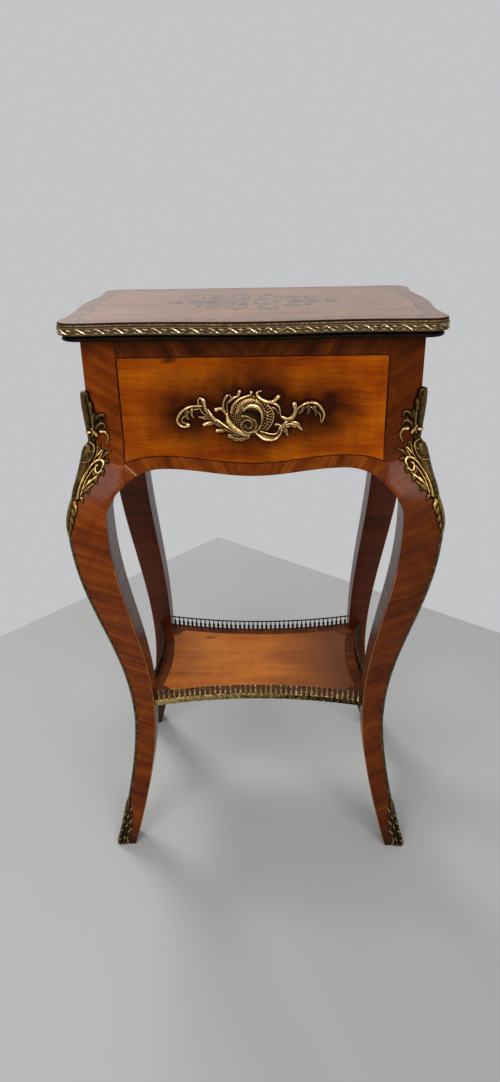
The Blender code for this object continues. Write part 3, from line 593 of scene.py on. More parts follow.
def leg_inner(height):
    if height < ANKLE_HEIGHT:
        return leg_outer(height) - FOOT_WIDTH - (ANKLE_WIDTH - FOOT_WIDTH) * height / ANKLE_HEIGHT
    if height < KNEE_HEIGHT:
        share = (height - ANKLE_HEIGHT) / (KNEE_HEIGHT - ANKLE_HEIGHT)
        return leg_outer(height) - ANKLE_WIDTH - (KNEE_WIDTH - ANKLE_WIDTH) * ease(share ** CALF_LEAD)
    knee_inner = KNEE_BULGE - KNEE_WIDTH
    share = min(max(height - EAR_FOOT, 0.0) / (EAR_HEIGHT - EAR_FOOT), 1.0)
    return knee_inner + (-POST_WIDTH - knee_inner) * share ** 2


def arris_radius(height):
    if height < KNEE_HEIGHT:
        return ARRIS_ROUND
    return max(POST_ROUND, ARRIS_ROUND - 0.015 * (height - KNEE_HEIGHT))


def at_corner(corner, across, along, height):
    sign_x, sign_y = CORNERS[corner]
    return (sign_x * (HALF_WIDTH + across), sign_y * (HALF_DEPTH + along), height)


def leg_skin(corner, place, height, depth):
    """A point over the outer corner of a leg, by its distance round from the arris and its depth."""
    outer = leg_outer(height)
    radius = arris_radius(height)
    half_arc = radius * math.pi / 4
    angle = min(max((place / half_arc + 1) / 2, 0.0), 1.0) * math.pi / 2
    extra = max(abs(place) - half_arc, 0.0)
    across, along = on_circle((outer - radius, outer - radius), radius, angle)
    across -= extra if place > 0 else 0.0
    along -= extra if place < 0 else 0.0
    slope = (leg_outer(height + 0.001) - leg_outer(height - 0.001)) / 0.002
    cos, sin = math.cos(angle), math.sin(angle)
    normal = Vector((cos, sin, -slope * (cos + sin))).normalized()
    return at_corner(corner, across + normal.x * depth, along + normal.y * depth, height + normal.z * depth)


def quarter_round(middle, radius, start, steps):
    turns = [math.radians(turn) for turn in spread(start, start + 90, steps)[1:]]
    return [on_circle(middle, radius, turn) for turn in turns]


def leg_ring(height):
    """Plan points round a leg with the side they belong to: outer faces, worn edges or inner faces."""
    outer = leg_outer(height)
    inner = leg_inner(height)
    radius = arris_radius(height)
    small = EDGE_ROUND if height < EAR_HEIGHT else 0.0002
    low, high, arris = inner + small, outer - small, outer - radius
    runs = (
        ("inner", [(across, inner) for across in spread(inner, high, 4)]),
        ("edge", quarter_round((high, low), small, -90, 3)),
        ("outer", [(outer, along) for along in spread(low, arris, 7)[1:]]),
        ("outer", quarter_round((arris, arris), radius, 0, 6)),
        ("outer", [(across, outer) for across in spread(arris, low, 7)[1:]]),
        ("edge", quarter_round((low, high), small, 90, 3)),
        ("inner", [(inner, along) for along in spread(high, inner, 4)[1:]]),
    )
    return [(*point, side) for side, points in runs for point in points]


def leg_levels():
    levels = []
    joint = 0.0003
    for start, end, steps in (
            (0.0, ANKLE_HEIGHT, 26), (ANKLE_HEIGHT, KNEE_HEIGHT, 34), (KNEE_HEIGHT, EAR_FOOT, 3),
            (EAR_FOOT, EAR_HEIGHT, 11), (EAR_HEIGHT, JOINT_HEIGHT - joint, 4),
            (JOINT_HEIGHT + joint, POST_START, 6), (POST_START, CASE_TOP, 6)):
        levels += spread(start, end, steps)
    return sorted(set(levels))


def leg_zone(side, level):
    if side == "inner":
        return 2
    if abs(level - JOINT_HEIGHT) < 0.0002:
        return 3
    if level > JOINT_HEIGHT:
        return 4
    return 1 if side == "edge" and level < WORN_TO else 0


def make_leg(corner, number):
    """A cabriole leg with its veneered outer faces, rubbed edges and plain inner faces."""
    rows = []
    for level in leg_levels():
        pull = max(0.0, 1 - ((level - JOINT_HEIGHT) / 0.05) ** 2) ** 2
        row = []
        for index, (across, along, side) in enumerate(leg_ring(level)):
            height = level
            if side == "outer":
                reach = leg_outer(level) - min(across, along)
                height += JOINT_RISE * max(0.0, POST_WIDTH - reach) * pull
                across, along, side = leg_ring(height)[index]
            row.append((across, along, height, side))
        rows.append(row)

    def grain_of(across, along, height, side, level):
        if side == "inner":
            return (height + 0.7 * number, min(across, along) + 0.2 * number)
        shift = 0.9 * number + (0.31 if along > across else 0.0)
        angle, rise = (1.25 * LEG_GRAIN, 1.3) if level > JOINT_HEIGHT else (LEG_GRAIN, 0.4 * number)
        return turned((leg_outer(height) - min(across, along), height), angle, (shift, rise))

    shape = Shape()
    for low, high in zip(rows, rows[1:]):
        level = (low[0][2] + high[0][2]) / 2
        for column in range(len(low) - 1):
            side = low[column + 1][3]
            spots = [spot[:3] for spot in (low[column], low[column + 1], high[column + 1], high[column])]
            grain = [grain_of(*spot, side, level) for spot in spots]
            shape.cap([at_corner(corner, *spot) for spot in spots], grain, leg_zone(side, level))
    for row in (rows[0], rows[-1]):
        points = [at_corner(corner, *spot[:3]) for spot in row[:-1]]
        shape.cap(points, [point[:2] for point in points], 2)
    materials = [LEG_WOOD, WORN_WOOD, INNER_WOOD, BAND_WOOD, POST_WOOD]
    build(f"cabriole_leg_{corner}", shape, materials, "table", f"leg_{corner}", 38)


# Case panels

def apron_height(place, half_span):
    place = abs(place)
    peak_place = half_span - APRON_SHOULDER
    if place <= peak_place:
        return APRON_MIDDLE + APRON_RISE * ease(place / peak_place)
    return APRON_PEAK - APRON_EAR * ((place - peak_place) / APRON_SHOULDER) ** 2


def hinge_boxes(front, back, low, high):
    """A box at each hinge, between two depths and two heights."""
    return [((x - HINGE_HALF, front, low), (x + HINGE_HALF, back, high)) for x in HINGE_PLACES.values()]


def make_panel(side):
    """A veneered panel: crossbanding, a dark line and a field that follows the apron."""
    span, level = (HALF_WIDTH, HALF_DEPTH) if side in ("front", "back") else (HALF_DEPTH, HALF_WIDTH)
    half_span = span - POST_WIDTH - GAP

    def loop_over(raise_by, end_inset, lift, top):
        """The apron's edge moved up, its ears further, closed over points up its ends."""
        end = half_span - end_inset
        loop = []
        for place in spread(-end, end, 96):
            dip = max(0.0, 1 - (half_span - abs(place)) / APRON_SHOULDER) ** 2
            loop.append((place, apron_height(place, half_span) + raise_by + lift * dip))
        right = [(end, height) for height in spread(loop[-1][1], POST_START, 18)[1:]] + [(end, top)]
        return loop + right + [(-place, height) for place, height in right[::-1]]

    outline = loop_over(0.0, 0.0, 0.0, CASE_TOP)
    face = loop_over(PANEL_BEVEL, 0.0, 0.0, CASE_TOP)
    line_out = loop_over(LINE_RISE, LINE_INSET, LINE_LIFT, TOP_LINE)
    line_in = loop_over(LINE_RISE + STRING_WIDTH, LINE_INSET + STRING_WIDTH, LINE_LIFT, TOP_LINE - STRING_WIDTH)
    top_x = half_span - 0.0004
    top_z = apron_height(half_span, half_span) + LINE_RISE + LINE_LIFT - 0.0004
    foot_x = half_span - MITRE_RUN
    foot_z = apron_height(foot_x, half_span) + PANEL_BEVEL
    paired = [[
        (top_x, top_z), (foot_x, foot_z), (foot_x - MITRE_WIDTH, foot_z + 0.0003), (top_x - MITRE_WIDTH, top_z),
    ]]
    climb = spread(EAR_HEIGHT + LINE_RISE + LINE_LIFT, POST_START, 12)
    for near, far in ((0.0045, 0.0075), (0.0110, 0.0150), (0.0200, EAR_SWEEP)):
        guide = [(half_span - near, height) for height in climb]
        paired.append(guide + [(half_span - far, height) for height in climb[::-1]])
    mirrored = [[(sign * x, z) for x, z in loop] for loop in paired for sign in (-1, 1)]
    seam_foot = APRON_MIDDLE + PANEL_BEVEL
    seam = [(0.0, seam_foot), (0.0, CASE_TOP), (-0.00002, CASE_TOP), (-0.00002, seam_foot)]

    def zone_of(point):
        x, z = point
        if inside(point, line_in):
            return 2, "field"
        if inside(point, line_out):
            return 1, "string"
        if inside(point, mirrored[0]):
            return 3, "joint"
        hand = "right" if x > 0 else "left"
        share = (top_z - z) / (top_z - foot_z)
        if z < top_z and abs(x) > top_x + (foot_x - top_x) * share:
            return 4, "ear_" + hand
        # Zone 6, the band under the lid, takes the wood darkened as painted shadow of the lid.
        return (6, "top_" + hand) if z > BAND_TURN else (0, "foot_" + hand)

    def grain_of(key, point):
        x, z = point
        shift = {"front": 0.0, "right": 2.1, "back": 4.3, "left": 6.7}[side]
        if key in ("field", "string", "joint"):
            return (x + shift, z)
        place = (-x if key.endswith("right") else x, z)
        if key.startswith("ear"):
            return turned(place, math.radians(-40), (shift, 0.3))
        return turned(place, -BAND_GRAIN, (shift + (0.5 if key.startswith("top") else 1.0), 0.0))

    def swelled(x, z, depth=0.0):
        """A point of the face, which comes forward to meet the bulge of the leg beside it."""
        share = max(0.0, 1 - (half_span - abs(x)) / EAR_SWEEP)
        return (*turn_to_side(side, x, level - depth + leg_outer(z) * share ** 2), z)

    shape = Shape()
    add_inlay(shape, face, [line_out, line_in, seam] + mirrored, zone_of, swelled, grain_of)
    rings = [[swelled(x, z) for x, z in face], [swelled(x, z, PANEL_BEVEL) for x, z in outline]]
    rings.append([(*turn_to_side(side, x, level - PANEL_THICKNESS), z) for x, z in outline])
    shape.band(rings, [[(x, z + depth) for x, z in outline] for depth in (0.0, 0.001, PANEL_THICKNESS)])
    shape.cap(rings[-1], outline, 5)
    field, joint = (FIELD_WOOD, FILLER) if side == "front" else (PANEL_WOOD, BAND_WOOD)
    materials = [BAND_WOOD, STRING_WOOD, field, joint, LEG_WOOD, CARCASE, SHADOWED_TOP_BAND]
    piece = build(f"veneered_panel_{side}", shape, materials, "table", f"panel_{side}")
    if side == "back":
        cut(piece, hinge_boxes(LEAF_FRONT, HINGE_Y, CASE_TOP - LEAF_SEAT, CASE_TOP + 0.001))


# Lid

def lid_edge(side, inset, steps=48):
    """Plan points of one side of the lid, from the middle of one corner to the middle of the next."""
    half_width = LID_WIDTH / 2 - inset
    half_depth = LID_DEPTH / 2 - inset
    radius = LID_CORNER_RADIUS
    span, level = (half_width, half_depth) if side in ("front", "back") else (half_depth, half_width)
    reach = span + LID_EAR - radius
    bow = {"front": LID_FRONT_BOW, "back": 0.0}.get(side, LID_SIDE_BOW)
    turns = [math.radians(turn) for turn in spread(0, 45, 6)[1:]]
    corner = [on_circle((reach, level + LID_EAR - radius), radius, math.pi / 2 - turn) for turn in turns]
    points = [(-along, out) for along, out in corner[::-1]]
    for place in spread(-reach, reach, steps):
        share = abs(place) / reach
        swell = bow * math.cos(math.pi / 2 * min(share / LID_BOW_SHARE, 1)) ** 2
        ear = LID_EAR * ease(max(share - LID_BOW_SHARE, 0) / (1 - LID_BOW_SHARE))
        points.append((place, level + swell + ear))
    return [turn_to_side(side, *point) for point in points + corner]


def lid_outline(inset):
    return [point for side in SIDES for point in lid_edge(side, inset)[:-1]]


def smooth_path(points, steps=12):
    """Points of a smooth curve through a few given ones."""
    given = np.array(points, float)
    padded = np.vstack([2 * given[0] - given[1], given, 2 * given[-1] - given[-2]])
    t = np.linspace(0, 1, steps, endpoint=False)[:, None]
    runs = []
    for a, b, c, d in zip(padded, padded[1:], padded[2:], padded[3:]):
        square, cube = 2 * a - 5 * b + 4 * c - d, 3 * b - a - 3 * c + d
        runs.append(0.5 * (2 * b + (c - a) * t + square * t ** 2 + cube * t ** 3))
    return np.vstack(runs + [given[-1:]])


def leaf_outline(points, width):
    """A closed leaf along a curved spine, pointed at both ends."""
    path = smooth_path(points, 8)
    tangent = np.gradient(path, axis=0)
    tangent /= np.linalg.norm(tangent, axis=1)[:, None]
    share = np.linspace(0, 1, len(path))
    half = width / 2 * np.sin(np.pi * share ** 0.8) ** 0.8
    offset = np.stack([-tangent[:, 1], tangent[:, 0]], 1) * half[:, None]
    return [tuple(point) for point in np.vstack([(path + offset)[:-1], (path - offset)[:0:-1]])]


# Marquetry of the lid, one quarter in millimetres from its middle:
# scrolling stems, their widths and their number of leaves
STEMS = (
    (((12, 3), (26, 13), (42, 17), (56, 11), (62, 0), (55, -6), (48, -1), (51, 5)), 2.6, 7),
    (((58, 9), (70, 16), (84, 13), (92, 4), (88, -4), (80, -3), (79, 3)), 2.4, 6),
    (((9, 9), (15, 26), (30, 37), (46, 36), (53, 27), (47, 20), (40, 24)), 2.6, 7),
    (((4, 14), (9, 30), (6, 44), (11, 57), (22, 62), (29, 55), (23, 49)), 2.6, 6),
    (((34, 38), (46, 47), (60, 45), (66, 37), (60, 32)), 2.2, 4),
    (((86, 12), (98, 10), (106, 3)), 2.0, 3),
)


def sprig(stem, count):
    """Spines of small leaves that leave a stem to both sides in turn."""
    path = smooth_path(stem)
    spines = []
    for number in range(count):
        index = min(int(len(path) * (number + 0.7) / (count + 0.4)), len(path) - 2)
        foot = path[index]
        along = path[index + 1] - foot
        along /= np.linalg.norm(along)
        across = np.array((-along[1], along[0])) * (1 if number % 2 else -1)
        spines.append([foot, foot + 5.0 * along + 4.0 * across, foot + 8.0 * along + 9.5 * across])
    return spines


def lid_leaves():
    """Outlines of the marquetry with their zones: stems and dark leaves 3, pale petals 4."""
    leaves = []
    for stem, width, count in STEMS:
        sprays = [(spine, 6.2, 4 if number % 3 == 1 else 3) for number, spine in enumerate(sprig(stem, count))]
        for spine, size, zone in sprays + [(stem, width, 3)]:
            for sign_x, sign_y in QUARTERS:
                points = [(sign_x * x * MM, sign_y * y * MM) for x, y in spine]
                leaves.append((leaf_outline(points, size * MM), zone))
    for step in range(10):
        points = [on_circle((0.0, 0.0), radius * MM, 2 * math.pi * step / 10) for radius in (4.5, 12, 20)]
        leaves.append((leaf_outline(points, 10.0 * MM), 4 if step % 2 else 3))
    return leaves


def make_lid():
    """The lid: crossbanded border, line, field and a spray of leaves, over a rounded lip and a rebate."""
    line_out = lid_outline(LID_BORDER)
    line_in = lid_outline(LID_BORDER + STRING_WIDTH)
    leaves = lid_leaves()
    lows = np.array([np.min(outline, axis=0) for outline, _ in leaves])
    highs = np.array([np.max(outline, axis=0) for outline, _ in leaves])

    def zone_of(point):
        if inside(point, line_in):
            near = np.all((lows < point) & (highs > point), axis=1)
            for index in np.flatnonzero(near)[::-1]:
                outline, zone = leaves[index]
                if inside(point, outline):
                    return zone, "leaf"
            return 2, "field"
        if inside(point, line_out):
            return 1, "line"
        across = abs(point[0]) - (LID_WIDTH / 2 - LID_DEPTH / 2)
        return 0, "side" if across > abs(point[1]) else "front"

    def grain_of(key, point):
        if key == "side":
            return (point[0] + 3.0, point[1])
        if key == "front":
            return (point[1] + 5.0, point[0])
        return turned(point, 0.7) if key == "leaf" else point

    mitres = []
    for sign_x, sign_y in QUARTERS:
        insets = (0.0232, 0.0050)
        (x, y), end = [(sign_x * (LID_WIDTH / 2 - inset), sign_y * (LID_DEPTH / 2 - inset)) for inset in insets]
        mitres.append([(x, y), end, (x - sign_x * 0.0001, y)])
    shape = Shape()
    loops = [line_out, line_in] + [outline for outline, _ in leaves] + mitres
    add_inlay(shape, lid_outline(LID_EASE), loops, zone_of, lambda x, y: (x, y, TABLE_HEIGHT), grain_of)
    profile = []
    for turn in spread(0, math.pi / 2, 4):
        profile.append((LID_EASE * (1 - math.sin(turn)), TABLE_HEIGHT - LID_EASE * (1 - math.cos(turn))))
    groove, lip = 0.0010, TABLE_HEIGHT - LID_LIP
    profile += [(0.0, FILLET_TOP), (groove, FILLET_TOP), (groove, lip)]
    profile += [(LID_REBATE, lip), (LID_REBATE, LID_UNDER)]
    rings = []
    grain = []
    for level, (inset, height) in enumerate(profile):
        rings.append([(*point, height) for point in lid_outline(inset)])
        grain.append([(0.01 * index, height * 2 + level * 0.001) for index in range(len(rings[-1]))])
    shape.band(rings[:2], grain[:2], 0)
    shape.band(rings[1:], grain[1:], 6)
    shape.cap(rings[-1], [point[:2] for point in rings[-1]], 5)
    materials = [LID_BAND, LID_LINE, LID_WOOD, DARK_LEAF, PALE_LEAF, INNER_WOOD, LIP_WOOD]
    piece = build("lid_top", shape, materials, "lid", "lid_board")
    low = LID_UNDER - 0.001
    half_x, half_y, depth = MIRROR_SEAT
    boxes = [((-half_x, -half_y, low), (half_x, half_y, LID_UNDER + depth))]
    boxes += hinge_boxes(LEAF_FRONT, HINGE_Y, low, LID_UNDER + LEAF_SEAT)
    cut(piece, boxes + hinge_boxes(LEAF_BACK, SLOT_BACK, low, HINGE_Z + KNUCKLE_SLOT))


# Castings made as a relief of strokes

class Relief:
    """A height field in millimetres, built up from strokes that each bring their own gilding."""

    def __init__(self, low, high, pitch):
        axes = [start + pitch * np.arange(int((end - start) / pitch) + 1) for start, end in zip(low, high)]
        self.s, self.t = np.meshgrid(*axes, indexing="ij")
        self.height = np.full(self.s.shape, -2.0)
        self.gilt = np.zeros(self.s.shape)

    def stroke(self, points, widths, heights, kind="rib", lobes=0, gild=0.7):
        """A rib, a fold with its ridge on the left, a toothed leaf, a beaded cord or a pit along a curve."""
        path = smooth_path(points)
        (low_s, low_t), (high_s, high_t) = path.min(0) - max(widths) - 2.0, path.max(0) + max(widths) + 2.0
        box = (self.s > low_s) & (self.s < high_s) & (self.t > low_t) & (self.t < high_t)
        spots = np.stack([self.s[box], self.t[box]], 1)
        run = np.diff(path, axis=0)
        lengths = np.sqrt(np.maximum((run ** 2).sum(1), 1e-9))
        reached = np.concatenate([[0.0], np.cumsum(lengths)])
        best = np.full(len(spots), 1e9)
        along = np.zeros(len(spots))
        hand = np.ones(len(spots))
        for index, (start, step, length) in enumerate(zip(path, run, lengths)):
            offset = spots - start
            share = np.clip((offset * step).sum(1) / length ** 2, 0, 1)
            gap = np.linalg.norm(offset - share[:, None] * step, axis=1)
            closer = gap < best
            best[closer] = gap[closer]
            along[closer] = (reached[index] + share[closer] * length) / reached[-1]
            hand[closer] = np.sign(step[0] * offset[closer, 1] - step[1] * offset[closer, 0])
        width = np.interp(along, np.linspace(0, 1, len(widths)), widths)
        height = np.interp(along, np.linspace(0, 1, len(heights)), heights)
        off = np.minimum(best / width, 1.0)
        field = self.height[box]
        if kind == "pit":
            value = np.minimum(field, height + (4.0 - height) * off ** 4)
            taken = best < width
        else:
            value = height * np.sqrt(1 - off ** 2)
            if kind == "leaf":
                tooth = np.sin(np.pi * ((lobes * along - 0.8 * off) % 1.0))
                width = width * (0.78 + 0.22 * tooth ** 0.7)
                value = height * (1 - np.minimum(best / width, 1.0) ** 3) ** 0.7
                value *= 1 - 0.22 * (1 - tooth) * np.clip((off - 0.15) / 0.4, 0, 1)
                value -= 0.16 * height * np.exp(-((off - 0.22) / 0.12) ** 2)
            elif kind == "fold":
                places = (-1.0, -0.86, -0.45, 0.05, 0.42, 0.80, 1.0)
                value = height * np.interp(hand * off, places, (0.0, 0.66, 0.36, 0.70, 1.0, 0.66, 0.0))
            elif kind == "cord":
                value *= 0.80 + 0.20 * np.sin(2 * np.pi * lobes * along)
            value = np.where(best < width, value, -1.4 * (best - width))
            taken = value > field
        self.gilt[box] = np.where(taken, gild, self.gilt[box])
        self.height[box] = np.where(taken, value, field)

    def bead(self, middle, radius, height, gild=0.9):
        self.stroke((middle, (middle[0] + 0.01, middle[1])), (radius, radius), (height, height), gild=gild)

    def soften(self, field, times):
        for _ in range(times):
            wide = np.pad(field, 1, mode="edge")
            field = (4 * field + wide[:-2, 1:-1] + wide[2:, 1:-1] + wide[1:-1, :-2] + wide[1:-1, 2:]) / 8
        return field

    def cast(self, name, place, material, node):
        """Turn the raised part of the field into a closed casting laid on a surface."""
        height = self.soften(self.height, 1)
        above = height > 0
        raised = np.maximum(height, 0.0)
        crest = 0.42
        for times, depth in ((8, 0.5), (40, 2.4)):
            level = self.soften(raised * above, times) / np.maximum(self.soften(1.0 * above, times), 0.05)
            crest = crest + (raised - level) / depth
        crest = np.clip(crest, 0, 1) * self.soften(self.gilt, 1)
        cells = above[:-1, :-1] | above[1:, :-1] | above[:-1, 1:] | above[1:, 1:]
        index = np.arange(height.size).reshape(height.shape)
        faces = np.stack([index[:-1, :-1], index[1:, :-1], index[1:, 1:], index[:-1, 1:]], -1)[cells]
        used, packed = np.unique(faces, return_inverse=True)
        points = np.stack([self.s.ravel()[used], self.t.ravel()[used], height.ravel()[used]], 1)
        mesh = bpy.data.meshes.new(name)
        mesh.from_pydata(points.tolist(), [], packed.reshape(-1, 4).tolist())
        attribute = mesh.attributes.new("crest", "FLOAT", "POINT")
        attribute.data.foreach_set("value", crest.ravel()[used].astype(np.float32))
        work = bmesh.new()
        work.from_mesh(mesh)
        everything = [*work.verts, *work.edges, *work.faces]
        bmesh.ops.bisect_plane(
            work, geom=everything, dist=1e-4, plane_co=(0, 0, 0), plane_no=(0, 0, 1), clear_inner=True)
        copy = bmesh.ops.duplicate(work, geom=[*work.verts, *work.edges, *work.faces])
        for item in copy["geom"]:
            if isinstance(item, bmesh.types.BMVert):
                item.co.z = 0.0
        bmesh.ops.remove_doubles(work, verts=work.verts, dist=0.002)
        for vert in work.verts:
            vert.co = place(*vert.co)
        put(work, mesh, [material], "table", node, 180)


# Strokes of the front mount, in millimetres from the middle of its shell:
# spine, widths, heights, kind, teeth and gilding
FRONT_STROKES = (
    # The bright crest of the shell and the rim under it
    (((-8, 5), (-3, 10), (3, 11.5), (9, 9), (12.5, 3), (13, -4)), (1.0, 2.6, 3.4, 3.2, 2.2, 1.2),
     (5.2, 6.8, 7.8, 7.4, 6.4, 5.4), "rib", 0, 1.0),
    (((13, -4), (11.5, -12), (6, -18), (-2, -20.3), (-9.5, -18)), (1.2, 1.5, 1.5, 1.4, 1.0),
     (5.4, 5.6, 5.6, 5.4, 5.0), "rib", 0, 0.6),
    # The band of berries right of the shell, and the rim over its left side
    (((12.5, 14), (19, 9), (22.5, 0), (20, -9), (16, -15)), (2.2, 3.4, 3.6, 3.2, 2.0),
     (5.0, 5.4, 5.2, 5.0, 4.6), "cord", 11, 0.5),
    (((-21, 3), (-19, 11), (-13, 17.5), (-6, 21), (0, 23), (2, 26.5)), (1.6, 2.0, 2.0, 1.8, 1.6, 1.6),
     (5.0, 5.6, 5.6, 5.2, 5.0, 5.4), "rib", 0, 0.75),
    (((17.5, 13), (23.5, 7), (26, -1), (23.5, -10), (18, -17)), (1.0, 1.3, 1.3, 1.2, 1.0),
     (4.6, 5.0, 5.0, 4.8, 4.4), "rib", 0, 0.7),
    # The bright crescent left of the shell and the long acanthus stem under it
    (((-26, 2), (-24.5, -6), (-19, -14), (-10, -20), (-2, -23)), (1.4, 3.2, 3.8, 3.2, 2.0),
     (4.6, 6.4, 6.8, 6.0, 5.0), "rib", 0, 1.0),
    (((-4, -24), (-17, -19.5), (-29, -12), (-40, -5.5), (-48, 0.5)), (2.6, 4.2, 4.8, 4.2, 3.0),
     (4.6, 5.4, 5.4, 5.2, 4.8), "leaf", 4, 0.65),
    (((-6, -23.5), (-18, -18), (-29, -10.5), (-38, -4)), (0.9, 1.3, 1.3, 0.8), (5.4, 6.2, 6.2, 5.2),
     "rib", 0, 0.95),
    (((-3, -25), (-14, -27), (-24, -23.5)), (2.6, 3.8, 2.4), (4.2, 4.6, 4.2), "leaf", 3, 0.7),
    (((-26, -15), (-32, -17), (-37, -17)), (2.2, 2.8, 2.4), (4.4, 4.6, 4.8), "rib", 0, 0.7),
    (((-38, -7), (-45, -8.5), (-51, -9.8)), (2.6, 3.2, 2.4), (4.6, 4.6, 5.0), "rib", 0, 0.7),
    (((-45, -3), (-51, -2.5), (-57, -1.5)), (2.2, 2.6, 1.2), (4.4, 4.4, 3.4), "leaf", 2, 0.6),
    # The flared leaf and the spike that rise from the stem
    (((-53.5, 16), (-51, 6), (-45, -1)), (4.6, 3.8, 2.6), (5.0, 5.6, 5.0), "fold", 0, 0.85),
    (((-39, -5), (-43.5, 1), (-47, 7.5)), (2.4, 2.2, 1.0), (5.6, 5.8, 4.4), "rib", 0, 0.9),
    # The scroll at the far left with its hanging leaves
    (((-70, -10.5), (-76, -10.5), (-80, -6), (-78, 0), (-72, 6), (-64, 9.5), (-55, 10)),
     (2.6, 3.2, 3.6, 3.8, 3.8, 3.2, 2.4),
     (5.2, 5.4, 5.4, 5.8, 5.8, 5.4, 4.6), "fold", 0, 0.9),
    (((-71, 4), (-71, -1), (-68.5, -4)), (3.2, 2.6, 1.2), (4.8, 4.4, 3.4), "leaf", 2, 0.6),
    (((-65, 7), (-65.5, 2), (-63, -2.5)), (2.6, 2.0, 1.0), (4.6, 4.0, 3.2), "rib", 0, 0.6),
    # Curls round the top left of the shell
    (((-38, 7), (-32.5, 8), (-28.5, 4.5)), (2.6, 2.4, 2.0), (5.4, 5.0, 4.4), "rib", 0, 0.7),
    (((-27, 3), (-28.5, 10), (-27.5, 16), (-24.5, 21)), (2.2, 2.8, 3.0, 3.4), (4.6, 5.2, 5.2, 5.0),
     "fold", 0, 0.75),
    (((-24, 15), (-18, 20), (-13.5, 22), (-11.5, 27)), (1.6, 1.9, 1.9, 2.3), (4.4, 4.8, 4.8, 5.4),
     "rib", 0, 0.7),
    # The curl and the leaf at the top right
    (((12.5, 27.5), (7.5, 25), (10.5, 19.5), (18, 15.5), (25, 15.5), (30.5, 20)),
     (1.0, 1.7, 2.2, 2.6, 2.3, 2.8),
     (3.8, 4.6, 5.6, 5.8, 5.6, 6.2), "rib", 0, 0.85),
    (((15, 13.5), (23, 12.5), (30, 9), (32.8, 0.5)), (2.2, 3.6, 3.6, 1.4), (5.0, 6.0, 5.6, 3.8),
     "fold", 0, 0.85),
    # The cup under the right of the shell
    (((27.5, -11), (31.5, -11.5), (33.5, -18.5), (27, -25.5), (17, -25), (8, -20.5)),
     (1.4, 2.0, 2.8, 4.4, 5.0, 2.8),
     (4.8, 5.2, 5.6, 6.4, 7.0, 5.2), "fold", 0, 1.0),
    # The leaf, the stem and the arched spray at the right
    (((34, -15.5), (41.5, -10), (50.5, -11), (57.5, -17)), (3.4, 5.0, 4.2, 1.4), (5.2, 6.0, 5.2, 3.6),
     "leaf", 3, 0.85),
    (((37, -14), (40, -19.5), (41.5, -23.5)), (3.4, 3.0, 1.6), (4.8, 4.6, 3.8), "leaf", 2, 0.7),
    (((35, -2), (41.5, -5), (47.5, -2), (50, 5), (48.7, 12)), (1.8, 3.0, 2.8, 2.4, 2.8),
     (4.2, 5.2, 5.2, 5.2, 5.8), "rib", 0, 0.75),
    (((52, 5), (56.5, 9), (64, 12), (72, 11), (78, 5), (80.5, -1), (79, -9)),
     (2.0, 2.8, 3.8, 4.2, 3.8, 3.0, 1.2),
     (5.0, 5.8, 6.2, 6.2, 5.8, 5.0, 3.6), "fold", 0, 0.9),
    (((58, 8), (57, 4), (54, 1)), (2.6, 2.2, 1.2), (4.6, 4.2, 3.2), "rib", 0, 0.5),
    (((64, 9), (65, 4.5), (63.5, 1)), (3.0, 2.6, 1.2), (4.8, 4.4, 3.2), "leaf", 2, 0.45),
    (((71, 7.5), (73, 2.5), (72.5, -1.5)), (3.0, 2.6, 1.2), (4.8, 4.4, 3.2), "leaf", 2, 0.45),
)
FRONT_BEADS = (
    ((-37.5, 7.0), 3.0, 5.6), ((-51.5, -10.0), 2.6, 5.4), ((-37.5, -17.2), 2.5, 5.2),
     ((-70.0, -10.5), 3.0, 5.6),
    ((30.8, 20.5), 3.1, 6.4), ((48.6, 12.5), 3.0, 6.2), ((-11.4, 27.0), 2.4, 5.6), ((1.5, 26.0), 2.2, 5.6),
    ((18.5, 3.5), 1.5, 6.2), ((19.0, 0.0), 1.5, 6.2), ((18.6, -3.5), 1.5, 6.2), ((4.5, 17.5), 1.8, 6.0),
)


def arc(middle, radius, start, end):
    """Six points of an arc, by its first and last direction in degrees."""
    return [on_circle(middle, radius, math.radians(turn)) for turn in spread(start, end, 5)]


